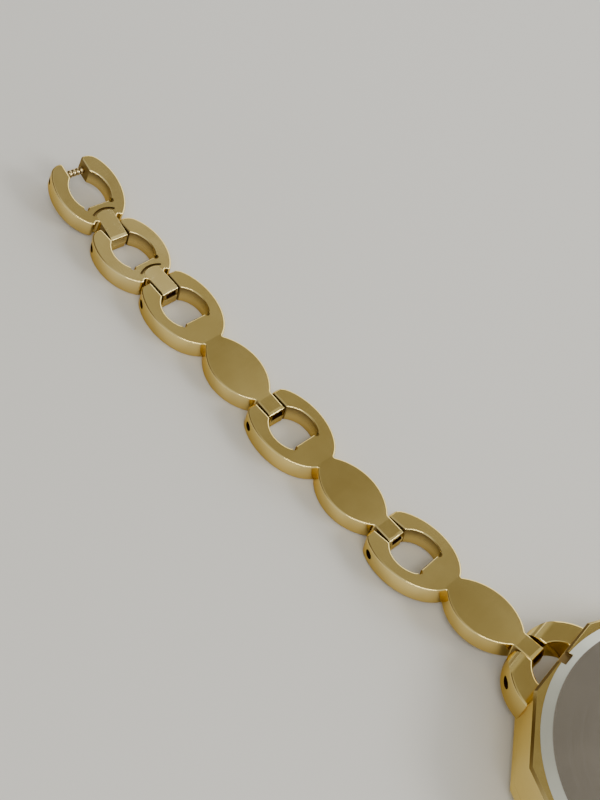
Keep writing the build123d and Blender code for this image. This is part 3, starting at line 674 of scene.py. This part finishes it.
def long_outline():
    """Upper half of a long link's outline, from the tab's middle round to the tongue's end."""
    upper = [(tab_end, 0.0), (tab_end, 1.5)]
    upper += arc((3.0, 0.0), (2.53, 2.16), 50.8, 149.4, 30)
    upper += ring_side(long_middle, long_half_length, long_reach, 17.35)
    upper += leaf_side()
    upper += [(long_pitch - 1.1, tongue_half_width + 0.01)]
    return upper + tongue_corner(long_end)


def folded_end(piece, end, seam=True):
    """Bends a tongue's end down, and cuts the fold's slot and the pin's bore."""
    flat_end, beyond, above, cutter_half_width = end - 0.62, end + 0.5, half_thick + 0.5, 1.2
    slope = [(flat_end, half_thick), (end + fold_top.x - 0.04, fold_top.z + 0.03),
             (end + fold_top.x + 0.02, fold_top.z - 0.03), (end - 0.02, fold_foot.z + 0.05),
             (end, fold_foot.z - 0.05), (beyond, 0.1), (beyond, above), (flat_end, above)]
    cut(piece, prism("slope", slope, cutter_half_width))
    bend, floor = 0.55, -half_thick
    loop = [(end - bend, floor - bend), (end + bend, floor - bend), (end + bend, floor + bend)]
    loop += arc((end - bend, floor + bend), (bend, -bend), 0, 90, 14)
    cut(piece, prism("bend", loop, cutter_half_width))
    if seam:
        wide, high = slot_half_width, slot_half_height
        slot = [(-wide, -high), (wide, -high), (wide, high), (-wide, high)]
        cutter = plate("slot", slot, -slot_depth, 0.4, 0.02, 0.02, 0.05, 2, 2)
        laid = placed(across_link, fold_up, fold_out, fold_middle + Vector((end, 0, 0)))
        cut(piece, turned(cutter, laid))
    return cut(piece, rod("bore", (end - tongue_past_pin, 0, 0), 0.45, 3.0))


def prong_noses(piece, reach, largest=1.46):
    """Rounds the prongs' ends about their pin, so that they clear the next link as it folds."""
    radius = min(math.hypot(reach, half_thick) - 0.07, largest)
    loop = [(20, -1.5), (20, 1.5), (0, 1.5)] + arc((0, 0), radius, 90, 270, 32) + [(0, -1.5)]
    return cut(piece, prism("nose", loop, 5), "INTERSECT")


def tab_notches(piece):
    """Drills the two round notches beside the tab, where the punch ran out into the corners."""
    for side in (-1, 1):
        cut(piece, rod("notch", (tab_end + 0.08, side * 1.4, 0), 0.28, 4.0, "Z", 24))
    return piece


no_tongue = no_prongs = 99.0


def painted_shade_of_link(end, wall):
    """How much painted shade each spot of a link gets, given its tongue's end and its pin seats' nearer
    side.
    """
    def test(spot, normal):
        aside, sideways = abs(spot.y), abs(normal.y)
        from_fold = spot - fold_middle - Vector((end, 0, 0))
        near_slot = abs(from_fold.dot(fold_up)) < slot_half_height + 0.02 and aside < slot_half_width + 0.04
        in_slot = near_slot and -slot_depth - 0.05 < from_fold.dot(fold_out) < -0.02
        in_seat = aside > wall and math.hypot(spot.x, spot.z) < seat_radius and sideways < 0.5
        in_groove = end == no_tongue and 4.9 < spot.x < 5.9 and aside < 1.35 and 0.7 < spot.z < 1.03
        beside_tongue = end - 2.3 < spot.x < end - 0.2 and 0.7 < aside < 1.2 and sideways > 0.75
        between_prongs = spot.x < 0.9 and aside < 1.3 and spot.y * normal.y < 0 and sideways > 0.6
        on_fold = spot.x > end - 0.6 and normal.x > 0.6 and spot.z < 0.2
        # Painted shade: full in the slot and the pin seats, less in the groove and in the gaps beside the
        # tongue and between the prongs, least on the fold's end face.
        marks = ((in_slot or in_seat, 1.0), (in_groove, 0.8), (beside_tongue or between_prongs, 0.7),
                 (on_fold, 0.35))
        return next((dark for here, dark in marks if here), 0.0)
    return test


def pin_seats(piece, radius):
    """Bores both prongs for a pin."""
    return cut(piece, rod("bore", (0, 0, 0), radius + 0.02, 12))


def dished(piece, start, end, drop):
    """Hollows the top between two places along the link, as a finger's width of polish does."""
    mesh = bmesh.new()
    mesh.from_mesh(piece.data)
    for place_on in np.linspace(start, end, 13):
        everything = mesh.verts[:] + mesh.edges[:] + mesh.faces[:]
        bmesh.ops.bisect_plane(mesh, geom=everything, plane_co=(place_on, 0, 0), plane_no=(1, 0, 0),
                               dist=1e-5)
    for point in mesh.verts:
        if point.co.z > 0.5 and start < point.co.x < end:
            along = (2 * point.co.x - start - end) / (end - start)
            point.co.z -= drop * (1 - along ** 2)
    mesh.to_mesh(piece.data)
    mesh.free()
    return piece


def long_link():
    """One long link in millimetres, with its prongs' pin at the origin."""
    outline = mirrored(long_outline())
    made = plate("long_link", outline, -half_thick, half_thick, low_rim, high_rim, 0.06)
    dished(made, start=7.3, end=15.4, drop=0.17)
    prong_noses(made, long_reach)
    tab_notches(made)
    folded_end(made, long_end)
    return pin_seats(made, pin_radius)


print("half outline of a long link", len(long_outline()), "points")

# %% [markdown]
# ## Short links and their clips
#
# The bracelet ends in short links, which a jeweller can add or leave out. A short link is an open
# ring with a straight base, and a folded clip grips that base and carries the tongue. A thin
# groove shows where the clip's leaf lies in its pocket.

# %% Short link and clip
short_middle, short_half_length, short_reach = 2.62, 4.6, 0.9
base_end = short_pitch - 1.56
leaf_start = base_end - 1.1
leaf_inside = half_thick - 0.45


def short_outline():
    """Upper half of a short link's outline, from the tab round to the middle of its base."""
    ring_end = oval_turn(base_end, short_middle, short_half_length)
    upper = [(tab_end, 0.0), (tab_end, 1.4)]
    upper += arc((2.9, 0.0), (2.4, 1.97), 45.4, 146.1, 28)
    upper += ring_side(short_middle, short_half_length, short_reach, ring_end)
    upper += [(base_end, 1.6)]
    upper += arc((base_end, 1.25), 0.22, 90, 270, 12)
    return upper + [(base_end, 0.0)]


def clip_outline(start, half_width, end, arch_radius=1.6):
    """A leaf with an arched end, as a closed outline."""
    turn = math.degrees(math.asin(half_width / arch_radius))
    arch = arc((start + arch_radius, 0), arch_radius, 180 - turn, 180 + turn, 16)
    corner = tongue_corner(end)
    return arch + [(u, -v) for u, v in corner] + corner[::-1]


def short_link(pin):
    """A short ring in millimetres, with a pocket above and below for its clip's leaves."""
    outline = mirrored(short_outline())
    made = plate("short_link", outline, -half_thick, half_thick, low_rim, high_rim, 0.06)
    prong_noses(made, short_reach)
    tab_notches(made)
    leaf = clip_outline(leaf_start - 0.03, tongue_half_width + 0.02, base_end + 0.9)
    for low, high in ((-1.4, -leaf_inside), (leaf_inside, 1.4)):
        cut(made, plate("pocket", leaf, low, high, 0, 0, 0.06, 0, 1))
    middle, outer, inner, half_turn = (leaf_start + 1.9, 0), 2.17, 1.93, 37
    groove = arc(middle, outer, 180 - half_turn, 180 + half_turn)
    groove += arc(middle, inner, 180 + half_turn, 180 - half_turn)
    cut(made, plate("groove", groove, half_thick - 0.3, half_thick + 0.3, 0, 0, 0.05, 1, 1))
    return pin_seats(made, pin)


def clip(seam):
    """A folded clip in millimetres: two leaves, the space between them, and the tongue."""
    outline = clip_outline(leaf_start, tongue_half_width, short_end)
    made = plate("clip", outline, -half_thick, half_thick, 0.04, 0.04, 0.05, 1)
    open_end = leaf_start - 1
    space = [(open_end, -leaf_inside), (base_end, -leaf_inside), (base_end, leaf_inside),
             (open_end, leaf_inside)]
    cut(made, prism("space", space, 1.5))
    return folded_end(made, short_end, seam)


print("half outline of a short link", len(short_outline()), "points")

# %% [markdown]
# ## Laying the bracelet
#
# Each link is made once, at its own pin, and copied to its place. The bracelet hangs together from
# the case outwards: the turns about the vertical were read from the photograph, and a link's rise
# follows from the height of the next hinge.


# %% Laying
def chain(start, pitches, turns, heights):
    """Matrices of links that hang one from another, from the case outwards, by turns in degrees."""
    hinge, found = start, []
    for pitch, turn, height in zip(pitches, turns, heights):
        t, r = math.radians(turn), math.asin((hinge[2] - height) / pitch)
        reach = pitch * math.cos(r)
        hinge = (hinge[0] - reach * math.cos(t), hinge[1] - reach * math.sin(t), height)
        u = Vector((math.cos(t) * math.cos(r), math.sin(t) * math.cos(r), math.sin(r)))
        v = Vector((-math.sin(t), math.cos(t), 0))
        found.append(placed(u, v, u.cross(v), hinge))
    return found


lug_to_centre, lug_pin_height = 16.5, 2.675
end_height = half_thick + short_pitch * math.sin(math.radians(9.0))
pitches = (long_pitch, long_pitch, long_pitch, short_pitch, short_pitch)
heights = (1.15, half_thick, half_thick, half_thick, end_height)
free_turns = (-5.1, -9.2, -11.4, -10.3, -16.0)
free_places = chain((-lug_to_centre, 0, lug_pin_height), pitches, free_turns, heights)
clasp_places = chain((lug_to_centre, 0, lug_pin_height), pitches[:4], (180,) * 4, heights[:4])
print("free end hinge at", [round(c, 2) for c in free_places[-1].translation])

# %% Copies of the links
bar_pin_radius, seat_side = 0.3, 1.6
long_pattern = long_link()
short_pattern = short_link(pin_radius)
end_pattern = short_link(bar_pin_radius)
clip_pattern = clip(True)
end_clip_pattern = clip(False)
long_look = {
    "finish": "polished_gold", "in_hollow": painted_shade_of_link(long_end, seat_side), "has_ring": True}
short_look = {
    "finish": "short_link_gold", "in_hollow": painted_shade_of_link(no_tongue, seat_side), "has_ring": True,
    "slot": "polished_gold"}
clip_look = {"finish": "clip_gold", "in_hollow": painted_shade_of_link(short_end, no_prongs)}
side = [(long_pattern, f"link_{i + 1}", f"link_{i + 1}", i, long_look) for i in range(3)]
side += [(short_pattern, "short_link", "short_link", 3, short_look),
         (clip_pattern, "short_clip", "short_link", 3, clip_look)]
free_end = [(end_pattern, "end_link", "end_link", 4, short_look),
            (end_clip_pattern, "end_clip", "end_link", 4, clip_look)]
for half, places, pieces in (
    ("free", free_places, side), ("clasp", clasp_places, side), ("free", free_places, free_end),
):
    for pattern, part, link, number, look in pieces:
        node = f"{half}_side_{part}"
        finished(added(node, pattern.data.copy()), node + "_look", body=f"{half}_{link}",
                 stands_for=[node], laid=places[number], walled=True, **look)
for pattern in (long_pattern, short_pattern, end_pattern, clip_pattern, end_clip_pattern):
    print(pattern.name, len(pattern.data.polygons), "faces")
    bpy.data.objects.remove(pattern)

# %% [markdown]
# ## The lugs
#
# Each end of the case carries a wide horseshoe for the first link. It is thicker than a link and
# round at its prongs' ends, so that the bracelet can drop steeply off the wrist.

# %% Lugs
lug_low, lug_high = 1.25, 4.1
lug_reach, prong_round = 1.3, 0.35


def lug():
    """One lug in millimetres, in the CAD lug's own frame."""
    upper = [(2.3, 0.0), (2.3, 2.58)]
    upper += arc((3.1, 0), (2.7, 2.75), 108.3, 156.4, 16)
    upper += arc((prong_round - lug_reach, gap_half_width + prong_round), prong_round, 270, 180, 8)
    upper += arc((3.66, 0), 5.25, 160.0, 96.7, 40)
    upper += [(3.05, 0.0)]
    made = plate("lug", mirrored(upper), lug_low, lug_high, 0.2, 0.17, 0.07)
    half, below, above = (lug_high - lug_low) / 2, lug_low - 1, lug_high + 1
    nose_at = half - lug_reach
    nose = [(10, below), (10, above), (nose_at, above)]
    nose += arc((nose_at, lug_pin_height), half, 90, 270, 40) + [(nose_at, below)]
    cut(made, prism("nose", nose, 7), "INTERSECT")
    turned(made, Matrix.Translation((0, 0, -lug_pin_height)))
    pin_seats(made, pin_radius)
    return turned(made, Matrix.Translation((0, 0, lug_pin_height)))


def in_lug_seat(spot, normal):
    """Tells whether a spot of a lug lies inside its pin's seat, which the gold fills with painted shade."""
    from_pin = math.hypot(spot.x, spot.z - lug_pin_height)
    return abs(spot.y) > seat_side and from_pin < seat_radius and abs(normal.y) < 0.5


lug_pattern = lug()
for half, x, turn in (("free", -lug_to_centre, 0), ("clasp", lug_to_centre, math.pi)):
    node = f"{half}_side_lug"
    laid = Matrix.Translation((x, 0, 0)) @ Matrix.Rotation(turn, 4, "Z")
    finished(added(node, lug_pattern.data.copy()), node + "_look", "polished_gold", "case", [node], laid,
             in_hollow=in_lug_seat, walled=True)
print("lug", len(lug_pattern.data.polygons), "faces")
bpy.data.objects.remove(lug_pattern)

# %% [markdown]
# ## The case, the clasp and the small parts
#
# These pieces keep the CAD model's shapes. A copy of each mesh is welded and given a fine bevel,
# because no real edge is perfectly sharp, and the thin bright line that a bevel catches is what
# makes metal look like metal.

# %% Finishes for every CAD node
finish_of = {part["node"]: part["material_slot"] for part in frame["record"]["subparts"]}
for name, node in nodes.items():
    node.data.materials.clear()
    node.data.materials.append(finishes[finish_of[name]])
print(len(finish_of), "nodes have a finish")

# %% Fine bevels
body_of_node = {name: node["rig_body"] for name, node in nodes.items()}


notch_low, notch_high, notch_floor = (-14.15, -0.72, 5.6), (-13.3, 0.72, 6.2), 5.8


def notch_shade(spot, normal):
    """How much painted shade a spot gets: the floor and the steep faces of the case knife's notch get it.
    """
    within = all(low < at < high for low, at, high in zip(notch_low, spot, notch_high))
    return 0.85 * (within and (spot.z < notch_floor or abs(normal.z) < 0.6))


def welded(name):
    """A working mesh of a CAD node in millimetres, with its doubled points joined."""
    mesh = bmesh.new()
    mesh.from_mesh(nodes[name].data)
    mesh.transform(Matrix.Scale(1 / MM, 4))
    bmesh.ops.remove_doubles(mesh, verts=mesh.verts, dist=0.002)
    return mesh


def bevelled(name, mesh, width, segments=3):
    """A CAD node's look from a working mesh, with a fine bevel on its sharp edges."""
    piece = solid(name + "_look", mesh)
    return modified(piece, "BEVEL", width=width, segments=segments, limit_method="ANGLE",
                    angle_limit=math.radians(35))


def in_place(name, piece, **more):
    """Finishes a look that already lies where its CAD node lies."""
    return finished(piece, name + "_look", finish_of[name], body_of_node[name], [name], Matrix(), **more)


def softened(name, width):
    """A CAD node's look that keeps its shape, with softened edges."""
    mesh = welded(name)
    flat = math.radians(0.4)
    bmesh.ops.dissolve_limit(mesh, angle_limit=flat, verts=mesh.verts, edges=mesh.edges)
    notched = name in ("case_body", "case_back")
    sharp = 12.0 if name == "case_back" else 38.0
    return in_place(name, bevelled(name, mesh, width), sharp=sharp, in_hollow=notch_shade if notched else None)


for name, width in (
    ("case_body", 0.015), ("bezel", 0.1), ("case_back", 0.05), ("clasp_cover", 0.12),
    ("clasp_blade", 0.08), ("clasp_hook", 0.05), ("hour_markers", 0.04), ("crystal", 0.03),
    ("hour_hand", 0.015), ("minute_hand", 0.015),
):
    piece = softened(name, width)
    print(piece.name, len(piece.data.polygons), "faces")

# %% [markdown]
# ## Rules in place of drawings
#
# Some details are one small form that repeats: the ribs of the bar, the teeth of the crown, the
# marks of a minute track, the turns of a coil. Geometry Nodes suit them, because the count and the
# sizes stay inputs that can be changed. The class below runs such a tree on an object and keeps
# the plain mesh that comes out.

# %% Trees of Geometry Nodes
class Rule:
    """A Geometry Nodes tree with named inputs, which ends in Realize Instances and Set Material."""

    def __init__(self, name, **inputs):
        self.tree = bpy.data.node_groups.new(name, "GeometryNodeTree")
        new_socket = self.tree.interface.new_socket
        new_socket("Geometry", in_out="INPUT", socket_type="NodeSocketGeometry")
        new_socket("Geometry", in_out="OUTPUT", socket_type="NodeSocketGeometry")
        self.values = inputs
        kinds = {key: "NodeSocketInt" if isinstance(value, int) else "NodeSocketFloat"
                 for key, value in inputs.items()}
        kinds["finish"] = "NodeSocketMaterial"
        self.identifiers = {key: new_socket(key, in_out="INPUT", socket_type=kind).identifier
                            for key, kind in kinds.items()}
        self.given = self.tree.nodes.new("NodeGroupInput")

    def __getitem__(self, key):
        return self.given.outputs[key]

    def add(self, kind, settings, sockets, result=0):
        return wired(self.tree, kind, settings, sockets, result)

    def sum_of(self, operation, first, second):
        return self.add("ShaderNodeMath", {"operation": operation}, {0: first, 1: second})

    def grown(self, name, geometry, finish, start=None):
        """Ends the tree, runs it on an object, and keeps the mesh."""
        real = self.add("GeometryNodeRealizeInstances", {}, {0: geometry})
        dressed = self.add("GeometryNodeSetMaterial", {}, {"Geometry": real, "Material": self["finish"]})
        self.add("NodeGroupOutput", {}, {0: dressed})
        piece = start or added(name, bpy.data.meshes.new(name))
        change = piece.modifiers.new("rule", "NODES")
        change.node_group = self.tree
        for key, value in self.values.items():
            change[self.identifiers[key]] = value
        change[self.identifiers["finish"]] = finishes[finish]
        kept(piece)
        print(name, len(piece.data.polygons), "faces")
        return piece


# %% [markdown]
# ## The hook bar
#
# The bar between the end link's prongs carries five soft ribs, so that the clasp's hook does not
# slide on it. Its radius follows a wave along its length: a line is cut into many points, the rule
# gives each point a radius, and a circle is swept along the line at that scale.

# %% Hook bar
rule = Rule("ribbed_bar", half_length=2.44, radius=0.27, rib_rise=0.11, rib_count=2.5,
                ribbed_share=0.46, points=181)
add, sum_of = rule.add, rule.sum_of
low_end = add("ShaderNodeCombineXYZ", {}, {"Y": sum_of("MULTIPLY", rule["half_length"], -1.0)})
high_end = add("ShaderNodeCombineXYZ", {}, {"Y": rule["half_length"]})
line = add("GeometryNodeCurvePrimitiveLine", {}, {"Start": low_end, "End": high_end})
line = add("GeometryNodeResampleCurve", {}, {"Curve": line, "Count": rule["points"]})
share = add("GeometryNodeSplineParameter", {}, {})
from_middle = sum_of("MULTIPLY", sum_of("SUBTRACT", share, 0.5), 2.0)
inside = sum_of("LESS_THAN", sum_of("ABSOLUTE", from_middle, 0.0), rule["ribbed_share"])
phase = sum_of("DIVIDE", from_middle, rule["ribbed_share"])
phase = sum_of("MULTIPLY", sum_of("MULTIPLY", phase, rule["rib_count"]), math.pi)
wave = sum_of("POWER", sum_of("ABSOLUTE", sum_of("COSINE", phase, 0.0), 0.0), 0.5)
rise = sum_of("MULTIPLY", sum_of("MULTIPLY", wave, inside), rule["rib_rise"])
ring = add("GeometryNodeCurvePrimitiveCircle", {}, {"Resolution": 40, "Radius": 1.0})
swept = add("GeometryNodeCurveToMesh", {}, {
    "Curve": line, "Profile Curve": ring, "Scale": sum_of("ADD", rise, rule["radius"]),
    "Fill Caps": True})
bar = rule.grown("hook_bar", swept, "bar_gold")
print("bar radius", round(max(math.hypot(v.co.x, v.co.z) for v in bar.data.vertices), 3))


def shade_between_ribs(spot, normal):
    """How much painted shade a spot of the bar gets: its thin parts, between the ribs, get it."""
    return 0.7 * (math.hypot(spot.x, spot.z) < 0.32)


finished(bar, "hook_bar_look", "bar_gold", body_of_node["hook_bar"], ["hook_bar"], free_places[4],
         in_hollow=shade_between_ribs, slot=finish_of["hook_bar"])

# %% [markdown]
# ## The crown
#
# A crown is turned from rod, domed at its end, and fluted for the fingertips. The turned core comes
# from a profile on a lathe, and a rule sets a round tooth at each of 24 points about it.

# %% Crown
def from_lathe(name, profile, sides=72):
    """A closed body turned about z, from (radius, height) points that start and end at radius 0."""
    mesh = bmesh.new()
    turns = [2 * math.pi * i / sides for i in range(sides)]
    rings = []
    for radius, height in profile:
        if radius == 0:
            rings.append([mesh.verts.new((0, 0, height))] * sides)
        else:
            spots = [(radius * math.cos(t), radius * math.sin(t), height) for t in turns]
            rings.append([mesh.verts.new(spot) for spot in spots])
    for lower, upper in zip(rings, rings[1:]):
        for i in range(sides):
            j = (i + 1) % sides
            mesh.faces.new(list(dict.fromkeys((lower[i], lower[j], upper[j], upper[i]))))
    bmesh.ops.recalc_face_normals(mesh, faces=mesh.faces)
    return solid(name, mesh)


crown_core = from_lathe("crown", [
    (0, 0.62), (1.0, 0.62), (1.0, 0.0), (1.52, 0.0), (1.60, 0.08), (1.66, 0.10), (1.66, 1.66),
    (1.58, 1.74), (1.62, 1.80), (1.55, 1.88), (1.2, 1.99), (0.8, 2.06), (0.4, 2.09), (0, 2.1)])
rule = Rule("fluted_crown", teeth=24, radius=1.655, tooth_radius=0.14, tooth_length=1.5)
add = rule.add
ring = add("GeometryNodeMeshCircle", {}, {"Vertices": rule["teeth"], "Radius": rule["radius"]})
tooth = add("GeometryNodeMeshCylinder", {}, {
    "Vertices": 12, "Radius": rule["tooth_radius"], "Depth": rule["tooth_length"]})
teeth = add("GeometryNodeInstanceOnPoints", {}, {"Points": ring, "Instance": tooth})
teeth = add("GeometryNodeTransform", {}, {"Geometry": teeth, "Translation": (0.0, 0.0, 0.9)})
joined = add("GeometryNodeJoinGeometry", {}, {0: [rule["Geometry"], teeth]})
crown_piece = rule.grown("crown", joined, "polished_gold", crown_core)
crown_foot = (0, 14.75, 3.75)
on_case = placed((1, 0, 0), (0, 0, -1), (0, 1, 0), crown_foot)
finished(crown_piece, "crown_look", "polished_gold", body_of_node["crown"], ["crown"], on_case, sharp=30.0)

# %% [markdown]
# ## The minute track
#
# The dial has an applied marker at each hour. Between them a printed track counts the minutes. The
# rule puts a small bar at each of 60 points, and leaves out every fifth, where a marker stands.

# %% Minute track
rule = Rule("minute_track", count=60, radius=9.75, bar_length=0.42, bar_width=0.09, bar_rise=0.02)
track_height = 2.445
add, sum_of = rule.add, rule.sum_of
ring = add("GeometryNodeMeshCircle", {}, {"Vertices": rule["count"], "Radius": rule["radius"]})
size = add("ShaderNodeCombineXYZ", {}, {
    "X": rule["bar_length"], "Y": rule["bar_width"], "Z": rule["bar_rise"]})
mark = add("GeometryNodeMeshCube", {}, {"Size": size})
number = add("GeometryNodeInputIndex", {}, {})
between_hours = sum_of("GREATER_THAN", sum_of("MODULO", number, 5.0), 0.5)
outwards = add("FunctionNodeAlignRotationToVector", {"axis": "X"}, {
    "Vector": add("GeometryNodeInputPosition", {}, {})})
marks = add("GeometryNodeInstanceOnPoints", {}, {
    "Points": ring, "Selection": between_hours, "Instance": mark, "Rotation": outwards})
track = rule.grown("minute_track", marks, "gasket_rubber")
finished(track, "minute_track", "gasket_rubber", "case", [], Matrix.Translation((0, 0, track_height)))

# %% [markdown]
# ## The coil's turns
#
# The motor's coil is a bobbin wound with hair-thin copper wire. A spiral swept with a small circle
# makes the outer layer, and the CAD bobbin stays inside it.

# %% Coil winding
rule = Rule("coil_turns", turns=44.0, radius=0.66, wire_radius=0.055, length=5.0)
add = rule.add
spiral = add("GeometryNodeCurveSpiral", {}, {
    "Resolution": 24, "Rotations": rule["turns"], "Start Radius": rule["radius"],
    "End Radius": rule["radius"], "Height": rule["length"]})
ring = add("GeometryNodeCurvePrimitiveCircle", {}, {"Resolution": 8, "Radius": rule["wire_radius"]})
wire = add("GeometryNodeCurveToMesh", {}, {"Curve": spiral, "Profile Curve": ring, "Fill Caps": True})
winding = rule.grown("coil_turns", wire, "coil_copper")
low, high = (np.array(corner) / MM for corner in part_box("motor_coil"))
coil_end = Matrix.Translation(((low[0] + high[0]) / 2, low[1] + 0.5, (low[2] + high[2]) / 2))
laid = coil_end @ Matrix.Rotation(-math.pi / 2, 4, "X")
finished(winding, "coil_turns", "coil_copper", "case", [], laid)

# %% [markdown]
# ## Hinge pins
#
# A pin is pressed in and its ends stay a little below the walls, so from outside one sees only a small
# recess, whose walls the gold of the links and lugs paints with shade. Each CAD pin is a straight rod, so
# its look is a copy that is shortened along its own axis, which the points' spread gives.

# %% Hinge pins
pin_names = sorted(name for name in nodes if "_side_pin_" in name)
shorter_by = 0.5
for name in pin_names:
    mesh = welded(name)
    spots = np.array([v.co for v in mesh.verts])
    centre = (spots.min(axis=0) + spots.max(axis=0)) / 2
    axis = np.linalg.svd(spots - centre, full_matrices=False)[2][0]
    reach = np.abs((spots - centre) @ axis).max()
    for vertex in mesh.verts:
        along = float((np.array(vertex.co) - centre) @ axis)
        vertex.co += Vector(axis) * (-along * shorter_by / reach)
    in_place(name, bevelled(name, mesh, 0.06, 2))
print(len(pin_names), "pins, each shorter by", shorter_by, "mm at both ends")

# %% [markdown]
# ## The sizes
#
# The script prints the CAD model's box and the dressed watch's box.

# %% Sizes and finish
look_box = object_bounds()


def plain(box):
    return json.loads(json.dumps(box, default=lambda value: [float(c) for c in value]))


{"cad": plain(cad_box), "look": plain(look_box)}
print("cad", plain(cad_box))
print("look", plain(look_box))
